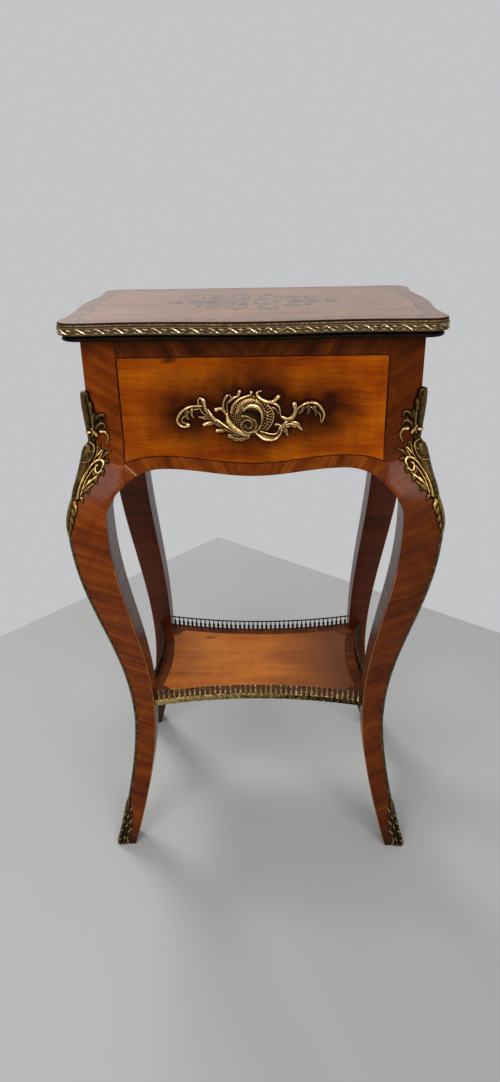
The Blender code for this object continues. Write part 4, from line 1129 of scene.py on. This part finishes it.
def make_front_mount():
    """A rocaille shell with leafy scrolls to both sides."""
    relief = Relief((-90, -33), (88, 33), 0.5)
    relief.bead((0, -1), 25.0, 3.4, 0.75)
    dome = arc((0.5, -1), 16.0, 165, 10)
    relief.stroke(dome, (2.0, 5.0, 6.0, 5.0, 2.0), (4.2, 5.0, 5.6, 5.2, 4.4), gild=0.85)
    for radius, height in ((22.0, 3.6), (19.6, 4.8), (17.2, 5.7), (14.8, 6.1), (12.6, 6.1)):
        count = int(2 * math.pi * radius / 2.9)
        for step in range(count):
            turn = 2 * math.pi * step / count + 0.07 * radius
            crown = max(0.0, math.sin(turn))
            spot = on_circle((0.5, -1.0), radius, turn)
            # Painted highlight: the beads on the upper half of each ring are gilded brighter.
            relief.bead(spot, 1.1, height - 0.9 * (1 - crown), 0.55 + 0.45 * crown)
    curl = (-3, -11)
    hollow = arc(curl, 13.5, 120, 0)
    relief.stroke(hollow, (1.0, 3.0, 4.8, 4.8, 3.0, 1.0), (1.6, 0.8, 0.6, 0.6, 0.8, 1.8), "pit", gild=0.0)
    relief.bead(curl, 9.6, 4.4, 0.3)
    for turn in range(0, 360, 20):
        flute = [on_circle(curl, 5.0, math.radians(turn)), on_circle(curl, 8.6, math.radians(turn + 14))]
        relief.stroke(flute, (0.7, 1.0), (4.9, 3.2), gild=0.42)
    spiral = [on_circle(curl, 9.8 - 7.4 * share, math.radians(20 - 560 * share)) for share in spread(0, 1, 16)]
    relief.stroke(spiral, (1.3, 1.1, 0.9), (5.6, 5.4, 5.0), gild=0.6)
    for points, widths, *rest in FRONT_STROKES:
        relief.stroke(points, dimmed(widths, FRONT_SWELL), *rest)
    for middle, radius, height in FRONT_BEADS:
        relief.bead(middle, FRONT_SWELL * radius, height)
    centre_x, centre_z = FRONT_MOUNT_PLACE

    def place(s, t, depth):
        return (centre_x + s * MM, -HALF_DEPTH - depth * MM - 0.00005, centre_z + t * MM)

    relief.cast("rocaille_mount", place, BRASS, "front_mount")


# Strokes along the arris of a knee casting, by their heights in millimetres
KNEE_SPINE = (
    ((606, 619, 632, 647, 661), (6.0, 11.0, 11.0, 8.5, 4.5), (3.2, 4.6, 6.0, 7.2, 7.4), "leaf", 4, 0.30),
    ((546, 556, 566, 576, 586, 596, 606), (4.0, 4.6, 5.6, 7.5, 10.0, 10.5, 6.0),
     (3.4, 5.4, 6.8, 8.2, 9.2, 8.8, 3.0), "rib", 0, 0.40),
    ((546, 535, 520, 504), (5.0, 8.5, 7.5, 2.0), (3.8, 3.8, 3.6, 2.6), "leaf", 5, 0.6),
)
# Half of its other strokes, by distance from the arris and height
KNEE_STROKES = (
    # The dark ground, the bright scroll with its second rib and its inner curl
    (((4, 546), (8, 560), (14, 575), (16, 590)), (5.0, 10.0, 12.0, 8.0), (0.9, 1.1, 1.1, 0.9),
     "rib", 0, 0.1),
    (((5.5, 546), (3.6, 556), (3.8, 566), (6.5, 577), (12.5, 584.5), (19.5, 586), (25, 582), (25, 578.5)),
     (2.0, 2.1, 2.1, 2.1, 2.0, 1.9, 1.8, 2.2), (4.4, 5.8, 6.4, 6.4, 5.4, 4.2, 3.6, 3.8), "rib", 0, 1.0),
    (((9, 549), (7.5, 558), (8.5, 567), (12, 575), (17, 580.5)), (1.3, 1.3, 1.2, 1.0),
     (3.0, 3.1, 3.0, 2.6), "rib", 0, 0.8),
    (((14, 580), (15.5, 574), (20, 571), (25, 573), (25.5, 577.5)), (1.6, 2.4, 2.6, 2.0, 1.4),
     (3.2, 3.8, 4.0, 3.8, 3.2), "fold", 0, 0.9),
    # Leaves inside the scroll
    (((9, 556), (14, 562.5), (21, 567.5)), (2.4, 3.0, 2.0), (3.2, 3.6, 3.4), "leaf", 2, 0.7),
    (((8, 550), (14, 555), (20, 560)), (2.4, 3.0, 2.0), (2.4, 2.8, 2.6), "leaf", 2, 0.5),
    # Small dark leaves round its edge
    (((21, 589), (25, 593), (29, 595)), (2.4, 3.2, 1.4), (2.4, 2.8, 2.2), "leaf", 2, 0.35),
    (((25, 584), (28.5, 584.5), (31.5, 583)), (2.6, 3.2, 1.6), (2.6, 3.0, 2.4), "leaf", 1, 0.3),
    (((24, 574), (27.5, 573), (30, 570)), (2.6, 3.2, 1.4), (2.6, 3.0, 2.2), "leaf", 2, 0.35),
    (((18, 566), (22, 564.5), (25, 561)), (2.6, 3.2, 1.4), (2.4, 2.8, 2.2), "leaf", 2, 0.35),
    (((13, 556), (16.5, 554.5), (19, 551)), (2.4, 3.0, 1.4), (2.4, 2.6, 2.2), "leaf", 2, 0.35),
    (((8, 547), (11.5, 545), (14, 541.5)), (2.4, 2.8, 1.4), (2.6, 2.8, 2.2), "leaf", 2, 0.5),
    # The flourish over the scroll and the hook beside the frond
    (((11, 587), (14.5, 591), (16.5, 596)), (2.6, 3.6, 1.8), (5.0, 4.8, 3.4), "fold", 0, 0.95),
    (((12.5, 618), (17.5, 617.5), (20.5, 611), (19.5, 603.5)), (2.2, 1.7, 1.4, 1.0),
     (3.6, 3.2, 3.0, 2.4), "rib", 0, 0.8),
    (((11, 603), (13, 598), (13, 592)), (1.8, 2.0, 1.2), (2.4, 2.6, 2.2), "leaf", 2, 0.4),
    # Curled leaves and buds beside the frond
    (((7, 627), (12, 634), (16, 636.5), (18, 633)), (3.6, 4.2, 3.6, 2.0), (3.8, 3.9, 3.7, 3.2),
     "fold", 0, 0.36),
    (((6, 618), (11, 624), (15.5, 626.5), (17.5, 623)), (3.4, 4.0, 3.4, 2.0), (3.8, 3.9, 3.7, 3.2),
     "fold", 0, 0.40),
    (((3, 622), (7.5, 614)), (1.8, 2.4), (5.6, 4.6), "rib", 0, 0.95),
    (((3.0, 613), (5.0, 630), (4.0, 645)), (1.0, 1.3, 0.7), (5.0, 6.2, 6.8), "rib", 0, 0.6),
    # Half of the rim of the cabochon, and the leaves over the pendant
    (((0, 582), (5.6, 586), (7.4, 594), (5.6, 602), (0, 606)), (0.9, 1.0, 1.0, 1.0, 0.9),
     (9.8, 9.4, 8.8, 6.6, 4.6), "rib", 0, 0.6),
    (((9.4, 584), (11.4, 592), (9.6, 602)), (0.8, 1.0, 0.8), (6.4, 6.2, 5.0), "rib", 0, 0.6),
    (((3, 541), (6.5, 534), (6, 529)), (2.6, 2.8, 1.2), (3.4, 3.6, 2.8), "leaf", 2, 0.7),
)


def make_knee_mount(corner):
    """Leaves, cabochon and scroll round the corner of a knee, the same on both faces."""
    relief = Relief((-36, 500), (36, 672), 0.7)
    for points, widths, heights, kind, lobes, gild in KNEE_SPINE:
        relief.stroke([(0, height) for height in points], widths, heights, kind, lobes, gild)
    for points, widths, heights, kind, lobes, gild in KNEE_STROKES:
        wide = dimmed(widths, KNEE_SWELL)
        relief.stroke(points, wide, heights, kind, lobes, gild)
        way = -1 if kind == "fold" else 1
        relief.stroke([(-s, t) for s, t in points[::way]], wide[::way], heights[::way], kind, lobes, gild)
    relief.bead((0, 618), 2.8, 6.2)
    relief.stroke(((0, 588), (0, 594), (0, 600)), (3.4, 4.6, 3.4), (9.8, 10.0, 8.6), gild=0.26)

    def place(s, t, depth):
        narrow = np.interp(t, (530, 548, 590, 612), (1.0, 0.79, 0.79, 1.0))
        return leg_skin(corner, narrow * s * MM, t * MM, KNEE_RELIEF * depth * MM + 0.0001)

    relief.cast(f"knee_casting_{corner}", place, KNEE_BRASS, f"knee_mount_{corner}")


def make_sabot(corner):
    """A shoe of small overlapping leaves round the toe of a leg, under one plain leaf."""
    tip = TOE_TIP / MM
    relief = Relief((-20, 0.3), (20, tip + 3), 0.6)
    levels, widths = (1, 20, 40, 58, tip), (14.0, 10.5, 8.0, 5.2, 1.6)
    relief.stroke([(0, level) for level in levels], widths, (2.6, 2.6, 2.5, 2.3, 1.8), gild=0.25)
    relief.stroke(((0, 2), (0, 38), (0, tip - 2)), (1.2, 1.1, 0.8), (3.3, 3.3, 2.6), "cord", 12, 0.6)
    for level in (8, 22, 35, 47):
        relief.stroke(((0, level - 5), (0, level)), (1.6, 2.6), (2.6, 4.3), gild=0.5)
    relief.stroke(((0, 48), (0, 60), (0, tip)), (4.4, 4.0, 1.2), (3.0, 3.4, 2.2), gild=0.45)
    for row in range(11):
        level = 4.5 + 4.8 * row
        reach = np.interp(level, levels, widths)
        for column in (-2, -1, 1, 2):
            foot = 0.42 * column * reach
            leaf = ((foot, level), (foot + 0.25 * column * reach * 0.6, level + 4.4))
            gild = 1.0 if (5 * row + 3 * column) % 7 < 2 else 0.35
            relief.stroke(leaf, (1.5, 0.7), (3.2 if abs(column) == 1 else 2.6, 2.2), gild=gild)
    for sign in (-1, 1):
        rim = ((0, 2.0), (sign * 7, 2.0), (sign * 14, 2.2))
        relief.stroke(rim, (1.7, 1.7, 1.4), (3.4, 3.2, 2.8), "cord", 5)
        relief.stroke(((sign * 13, 3), (sign * 9.5, 9), (sign * 10, 15)), (1.3, 1.3, 0.8), (2.8, 3.2, 2.2))

    def place(s, t, depth):
        return leg_skin(corner, s * MM, max(t, 0.6) * MM, depth * MM + 0.0001)

    relief.cast(f"toe_casting_{corner}", place, TOE_BRASS, f"sabot_{corner}")


def make_arris_strip(corner):
    """A beaded wire along the outer corner between the two castings."""
    rows = []
    for step, height in enumerate(spread(TOE_TIP - 0.002, KNEE_MOUNT_FOOT + 0.002, 640)):
        swell = WIRE_RADIUS + WIRE_BEAD * abs(math.sin(math.pi * step / 4))
        ring = [on_circle((0.0, 0.0), swell, math.radians(turn)) for turn in range(0, 360, 60)]
        rows.append([leg_skin(corner, 1.2 * place, height, 0.0002 + 0.8 * depth) for place, depth in ring])
    shape = Shape()
    shape.tube(rows)
    build(f"beaded_wire_{corner}", shape, [WIRE_BRASS], "table", f"arris_strip_{corner}", 60)


# Edge of the lid

def edge_frames(side, pitch):
    """Evenly spaced points, outward normals and distances along one side of the lid."""
    path = np.array(lid_edge(side, 0.0, 80))
    lengths = np.concatenate([[0.0], np.cumsum(np.linalg.norm(np.diff(path, axis=0), axis=1))])
    places = np.linspace(0, lengths[-1], int(lengths[-1] / pitch) + 1)
    points = np.stack([np.interp(places, lengths, path[:, axis]) for axis in (0, 1)], 1)
    tangent = np.gradient(points, axis=0)
    tangent /= np.linalg.norm(tangent, axis=1)[:, None]
    return points, np.stack([tangent[:, 1], -tangent[:, 0]], 1), places


def edge_relief(place, up):
    """Height in millimetres and gilding of the brass edge: a running wave with leaves between two rims; the
    falling strokes are gilded brighter as a painted highlight.
    """
    pitch = 20.0
    place, up = np.meshgrid(place, up, indexing="ij")
    phase = (place / pitch) % 1.0
    falling = 0.5 + 0.5 * np.sin(2 * np.pi * phase)
    layers = [(np.where(up > 6.9, 1.5, 0.0), 0.33), (np.where(up < 1.2, 0.9, 0.0), 0.0)]
    for shift, width, rise, gild in ((0.0, 0.62, 2.3, 1.0), (0.085, 0.36, 1.9, 0.7)):
        turn = 2 * np.pi * (phase - shift)
        slope = 2.2 * 2 * np.pi / pitch * np.abs(np.sin(turn))
        off = np.abs(up - 4.05 - 2.2 * np.cos(turn)) / np.sqrt(1 + slope ** 2) / width
        ridge = 0.5 + rise * (0.6 + 0.4 * falling) * np.sqrt(np.clip(1 - off ** 2, 0, 1))
        # Painted highlight: the gilding brightens where the wave falls.
        layers.append((np.where(off < 1, ridge, 0.0), gild * (0.30 + 0.70 * falling)))
    for centre, level, gild in ((0.56, 5.4, 0.75), (0.02, 2.3, 0.55)):
        run = ((phase - centre + 0.5) % 1.0 - 0.5) * pitch
        off = (run / 2.8) ** 2 + ((up - level + 0.30 * run) / 0.75) ** 2
        layers.append((np.where(off < 1, 0.5 + 1.6 * np.sqrt(np.clip(1 - off, 0, 1)), 0.0), gild))
    height = np.full(phase.shape, 0.5)
    gilt = np.full(phase.shape, 0.10)
    for value, gild in layers:
        gilt = np.where(value > height, gild, gilt)
        height = np.maximum(height, value)
    return height, gilt


def make_lid_brass(side):
    """A length of cast edging: its face is a relief, its back a flat rebate."""
    points, normals, places = edge_frames(side, 0.00055)
    top = TABLE_HEIGHT - LID_LIP - GAP
    foot = top - BRASS_HEIGHT
    levels = spread(0.0, BRASS_HEIGHT / MM, 22)
    rows = []
    crests = []
    for (x, y), (nx, ny), heights, gilts in zip(points, normals, *edge_relief(places / MM, levels)):
        section = [(-BRASS_BACK, foot)]
        section += [((height - 0.4) * MM, foot + up * MM) for up, height in zip(levels, heights)]
        rows.append([(x + nx * out, y + ny * out, z) for out, z in section + [(-BRASS_BACK, top)]])
        crests += [0.0, *gilts, 0.0]
    shape = Shape()
    shape.tube(rows)
    build(f"brass_edge_{side}", shape, [EDGE_BRASS], "lid", f"lid_brass_{side}", 60, crests)


def lid_sweep(side, profile):
    """A section of (inset, height) pairs swept along one side of the lid."""
    paths = [lid_edge(side, inset) for inset, _ in profile]
    rows = [[(*spot, height) for spot, (_, height) in zip(spots, profile)] for spots in zip(*paths)]
    grain = [[(index * 0.009, 0.001 * number) for number in range(len(profile))] for index in range(len(rows))]
    shape = Shape()
    shape.tube(rows, grain)
    return shape


def make_lid_fillet(side):
    """A plain brass fillet let into the lip of the lid over the cast edging."""
    foot = TABLE_HEIGHT - LID_LIP
    low, high = foot + 0.0001, FILLET_TOP - 0.0001
    section = (
        (0.0009, low), (-0.0001, low), (-0.0004, foot + 0.0006),
        (-0.0004, foot + 0.0012), (-0.0001, high), (0.0009, high),
    )
    build(f"brass_fillet_{side}", lid_sweep(side, section), [FILLET_BRASS], "lid", None, 50)


def make_lid_bead(side):
    """The ebonised moulding under the brass edge: a cavetto over a rounded bead."""
    top = TABLE_HEIGHT - LID_LIP - BRASS_HEIGHT - 2 * GAP
    back = 0.0077
    profile = [(back, LID_UNDER)]
    for turn in spread(-90, 75, 8):
        angle = math.radians(turn)
        profile.append((0.0045 - 0.0020 * math.cos(angle), LID_UNDER + 0.0022 + 0.0022 * math.sin(angle)))
    profile += [(0.0048, LID_UNDER + 0.0052), (0.0036, top - 0.0007), (0.0030, top), (back, top)]
    shape = lid_sweep(side, profile)
    piece = build(f"ebonised_bead_{side}", shape, [EBONY], "lid", f"lid_bead_{side}", 40)
    if side == "back":
        cut(piece, hinge_boxes(LEAF_BACK, SLOT_BACK, LID_UNDER - 0.001, HINGE_Z + KNUCKLE_SLOT))


# Undertier and gallery

NOTCH_INNER = min(leg_inner(height) for height in spread(SHELF_UNDER, SHELF_TOP, 2))
NOTCH = (HALF_WIDTH + NOTCH_INNER - GAP, HALF_DEPTH + NOTCH_INNER - GAP)


def shelf_side(side, inset, steps):
    """Plan points along one hollow side of the undertier."""
    reach = shelf_reach(side)
    return [shelf_spot(side, place, -inset) for place in spread(-reach, reach, steps)]


def shelf_reach(side):
    return NOTCH[0] if side in ("front", "back") else NOTCH[1]


def shelf_spot(side, place, out):
    """The plan point at a place along a hollow side, moved out from it."""
    lengthwise = side in ("front", "back")
    level = NOTCH[1] if lengthwise else NOTCH[0]
    hollow = SHELF_FRONT_HOLLOW if lengthwise else SHELF_SIDE_HOLLOW
    bent = level + SHELF_EDGE_AT_LEG - hollow * (1 - (place / shelf_reach(side)) ** 2)
    return turn_to_side(side, place, bent + out)


def shelf_outline():
    outline = []
    for side, (sign_x, sign_y) in zip(SIDES, SIDE_ENDS):
        outline += shelf_side(side, 0.0, 40) + [(sign_x * NOTCH[0], sign_y * NOTCH[1])]
    return outline


def shelf_field(border, ear):
    """The field of the undertier: hollow sides, and a round ear of banding at each leg."""
    runs = []
    for side in SIDES:
        points = shelf_side(side, border, 60)
        runs.append([(x, y) for x, y in points if math.dist((abs(x), abs(y)), NOTCH) > ear])
    outline = []
    for run, following, (sign_x, sign_y) in zip(runs, runs[1:] + runs[:1], SIDE_ENDS):
        corner = (sign_x * NOTCH[0], sign_y * NOTCH[1])
        start, end = (math.atan2(y - corner[1], x - corner[0]) for x, y in (run[-1], following[0]))
        swing = (end - start + math.pi) % (2 * math.pi) - math.pi
        outline += run + [on_circle(corner, ear, turn) for turn in spread(start, start + swing, 12)[1:-1]]
    return outline


def make_shelf():
    outline = shelf_outline()
    line_out = shelf_field(SHELF_BORDER, SHELF_EAR)
    line_in = shelf_field(SHELF_BORDER + SHELF_LINE, SHELF_EAR + SHELF_LINE)

    def zone_of(point):
        if inside(point, line_in):
            return 2, "field"
        if inside(point, line_out):
            return 1, "field"
        lengthwise = abs(point[1]) / NOTCH[1] > abs(point[0]) / NOTCH[0]
        return 0, "front" if lengthwise else "side"

    def grain_of(key, point):
        x, y = point
        return {"front": (y + 2.0, x), "side": (x + 4.0, y), "field": (x + 8.0, y)}[key]

    shape = Shape()
    add_inlay(shape, outline, [line_out, line_in], zone_of, lambda x, y: (x, y, SHELF_TOP), grain_of)
    rings = [[(*point, height) for point in outline] for height in (SHELF_TOP, SHELF_UNDER)]
    shape.band(rings, [outline] * 2)
    shape.cap(rings[-1], outline, 3)
    materials = [SHADED_SHELF_BAND, STRING_WOOD, SHELF_WOOD, INNER_WOOD]
    build("undertier_top", shape, materials, "table", "undertier_board")


def lathe(shape, profile, sides, place, zone=0):
    """Add a turned form from (rise, radius) pairs; place turns its three coordinates into a point."""
    turns = [2 * math.pi * step / sides for step in range(sides)]
    rows = [[place(*on_circle((0.0, 0.0), radius, turn), rise) for turn in turns] for rise, radius in profile]
    shape.tube(rows, None, zone)


def sweep_side(shape, side, section, zone):
    """Sweep a section of (out, height) pairs along one hollow side of the undertier."""
    reach = shelf_reach(side)
    rows = []
    for place in spread(-reach, reach, 48):
        rows.append([(*shelf_spot(side, place, out), height) for out, height in section])
    shape.tube(rows, None, zone)


# Turning of a baluster: shares of its height, and radii in millimetres
TURNING = (
    (0.00, 1.9), (0.06, 1.9), (0.09, 1.1), (0.14, 1.5), (0.30, 2.2), (0.42, 2.05), (0.56, 1.2), (0.70, 0.75),
    (0.84, 0.72), (0.88, 1.25), (0.94, 1.25), (1.00, 0.8),
)


def make_gallery(side):
    """A nailed brass strip, vase-shaped balusters and a dark rail with a bead over each."""
    shape = Shape()
    edge = 0.0004
    strip_top = SHELF_TOP + 0.0006
    face, middle = GAP + STRIP_THICKNESS, GAP + STRIP_THICKNESS / 2
    sweep_side(shape, side, (
        (GAP, SHELF_UNDER), (face - edge, SHELF_UNDER), (face, SHELF_UNDER + edge),
        (face, strip_top - edge), (face - edge, strip_top), (GAP, strip_top)), 1)
    rail_top = SHELF_TOP + GALLERY_HEIGHT
    rail = rail_top - 0.0011
    turns = [math.radians(turn) for turn in range(0, 360, 45)]
    oval = [(middle + 0.0013 * math.cos(turn), rail + 0.0010 * math.sin(turn)) for turn in turns]
    sweep_side(shape, side, oval, 2)
    foot = strip_top - 0.0003
    baluster = [(foot + (rail - foot) * share, radius * MM) for share, radius in TURNING]
    bead = [(rail_top - 0.0006, 0.0011), (rail_top - 0.0002, 0.0009), (rail_top, 0.0004)]
    count = int(2 * shelf_reach(side) / BALUSTER_PITCH)
    for index in range(count):
        x, y = shelf_spot(side, BALUSTER_PITCH * (index - (count - 1) / 2), middle)
        lathe(shape, baluster, 10, lambda a, b, rise: (x + a, y + b, rise))
        lathe(shape, bead, 8, lambda a, b, rise: (x + a, y + b, rise))
    # Painted shade: the back and side galleries take the near-black brass, while the front one keeps the
    # brass's own colour.
    materials = [GALLERY_BRASS if side == "front" else DARK_SHADED_BRASS, STRIP_BRASS, DARK_SHADED_BRASS]
    build(f"pierced_gallery_{side}", shape, materials, "table", f"gallery_{side}", 45)
    make_nails(side, max(3, count // 6))


def make_nails(side, number):
    """Round nail heads that hold the gallery's strip to the board."""
    shape = Shape()
    head = [(-0.1 * MM, 1.15 * MM), (0.15 * MM, 1.15 * MM), (0.5 * MM, 0.85 * MM), (0.68 * MM, 0.35 * MM)]
    height = (SHELF_TOP + SHELF_UNDER) / 2
    for step in range(number):
        x, y = shelf_spot(side, shelf_reach(side) * 1.84 * ((step + 0.5) / number - 0.5), GAP + STRIP_THICKNESS)

        def place(across, up, rise):
            shift_x, shift_y = turn_to_side(side, across, rise)
            return (x + shift_x, y + shift_y, height + up)

        lathe(shape, head, 10, place)
    build(f"strip_nails_{side}", shape, [DARK_SHADED_BRASS], "table", None, 50)


# Inside the case, and the hinges

def make_inside():
    for part in ("front", "back", "left", "right", "base"):
        work = box_between(*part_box(f"well_{part}"))
        bmesh.ops.bevel(work, geom=list(work.edges), offset=0.0009, segments=3, profile=0.5, affect="EDGES")
        mesh = bpy.data.meshes.new(f"velvet_board_{part}")
        put(work, mesh, [VELVET], "table", f"well_{part}", 40)
    finishes = {
        "case_floor": CARCASE, "well_ledge": LEDGE_WOOD, "mirror_glass": MIRROR, "mirror_frame": LEDGE_WOOD,
    }
    for side in HINGE_PLACES:
        finishes[f"hinge_case_leaf_{side}"] = HINGE_BRASS
        finishes[f"hinge_lid_leaf_{side}"] = HINGE_BRASS
        finishes[f"hinge_pin_{side}"] = STEEL
    for name, material in finishes.items():
        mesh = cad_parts[name].data
        mesh.materials.clear()
        mesh.materials.append(material)


def make_screws():
    """Slotted screw heads in the hinge leaves."""
    head = [(-0.10 * MM, 1.7 * MM), (0.02 * MM, 1.7 * MM), (0.10 * MM, 1.3 * MM)]
    half_long, half_wide = 1.25 * MM, 0.22 * MM
    slot = [(sign_x * half_long, sign_y * half_wide) for sign_x, sign_y in SIDE_ENDS]
    for owner, body, height, sign in (("case", "table", CASE_TOP, 1), ("lid", "lid", LID_UNDER, -1)):
        shape = Shape()
        for hinge in HINGE_PLACES.values():
            for step in (-1, 0, 1):
                x, y = hinge + step * 0.010, LEAF_BACK - 0.0052 - 0.0016 * abs(step)
                lathe(shape, head, 12, lambda a, b, rise: (x + a, y + b, height + sign * rise))
                bar = [turned(spot, -(0.6 + step * 1.1 + hinge * 9), (x, y)) for spot in slot]
                levels = [height + sign * rise * MM for rise in (0.05, 0.115)]
                shape.tube([[(*spot, level) for spot in bar] for level in levels], None, 1)
        build(f"hinge_screws_{owner}", shape, [HINGE_BRASS, EBONY], body, None, 40)


# Camera, floor and light

def make_camera():
    """The photograph's viewpoint; a 500 by 1082 picture with a focal length of 735.43 pixels."""
    yaw, pitch, roll = -0.0325, 0.4424, -0.0197
    forward = Vector((math.sin(yaw), math.cos(yaw), 0.0))
    right = Vector((math.cos(yaw), -math.sin(yaw), 0.0))
    up = Vector((0.0, 0.0, 1.0))
    look = forward * math.cos(pitch) - up * math.sin(pitch)
    top = forward * math.sin(pitch) + up * math.cos(pitch)
    side = right * math.cos(roll) + top * math.sin(roll)
    head = top * math.cos(roll) - right * math.sin(roll)
    data = bpy.data.cameras.new("camera")
    data.sensor_width = 36.0
    data.lens = 735.43 / 1082 * data.sensor_width
    camera = place_object("camera", data)
    matrix = Matrix((side, head, -look)).transposed().to_4x4()
    matrix.translation = (0.01984, -0.92874, 0.85934)
    camera.matrix_world = matrix
    bpy.context.scene.camera = camera


def make_floor():
    look = Look("studio floor", Roughness=0.62)
    cloud = look.noise(look.place(), 3.0, 4.0)
    look.drive("Base Color", look.ramp(cloud, ((0.3, (0.372, 0.374, 0.375)), (0.7, (0.388, 0.390, 0.391)))))
    mesh = bpy.data.meshes.new("floor")
    corners = [(-0.128, 0.911, 0.0), (-4.08, -3.60, 0.0), (0.0, -9.0, 0.0), (4.61, -2.77, 0.0)]
    mesh.from_pydata(corners, [], [(0, 1, 2, 3)])
    mesh.materials.append(look.material)
    place_object("floor", mesh)


def area_light(name, place, target_height, size, power, tone=(1.0, 1.0, 1.0)):
    """A square lamp aimed at a height over the middle of the floor."""
    data = bpy.data.lights.new(name, "AREA")
    data.shape = "RECTANGLE"
    data.size = data.size_y = size
    data.energy = power
    data.color = tone
    lamp = place_object(name, data)
    lamp.location = place
    lamp.rotation_mode = "QUATERNION"
    lamp.rotation_quaternion = (Vector((0, 0, target_height)) - Vector(place)).to_track_quat("-Z", "Y")


def make_studio():
    make_floor()
    world = bpy.data.worlds.new("studio")
    world.use_nodes = True
    background = world.node_tree.nodes["Background"]
    background.inputs["Color"].default_value = (0.80, 0.815, 0.83, 1.0)
    background.inputs["Strength"].default_value = 0.68
    bpy.context.scene.world = world
    area_light("key", (-1.0, -1.6, 2.3), 0.45, 0.9, 18.0, (1.0, 0.97, 0.93))
    area_light("fill", (1.0, -1.5, 2.2), 0.45, 0.9, 17.0, (1.0, 0.98, 0.95))
    area_light("left sheen", (-0.72, -2.3, 1.68), 0.5, 0.45, 5.0)
    area_light("right sheen", (0.60, -2.3, 1.64), 0.5, 0.45, 5.0)
    area_light("rear", (-0.9, 1.4, 2.3), 0.3, 0.7, 28.0, (1.0, 0.98, 0.95))
    bpy.context.scene.view_settings.view_transform = "Standard"


def main():
    make_camera()
    for number, corner in enumerate(CORNERS):
        make_leg(corner, number)
        make_knee_mount(corner)
        make_sabot(corner)
        make_arris_strip(corner)
    for side in SIDES:
        make_panel(side)
        make_lid_brass(side)
        make_lid_fillet(side)
        make_lid_bead(side)
        make_gallery(side)
    make_lid()
    make_front_mount()
    make_shelf()
    make_inside()
    make_screws()
    make_studio()


main()
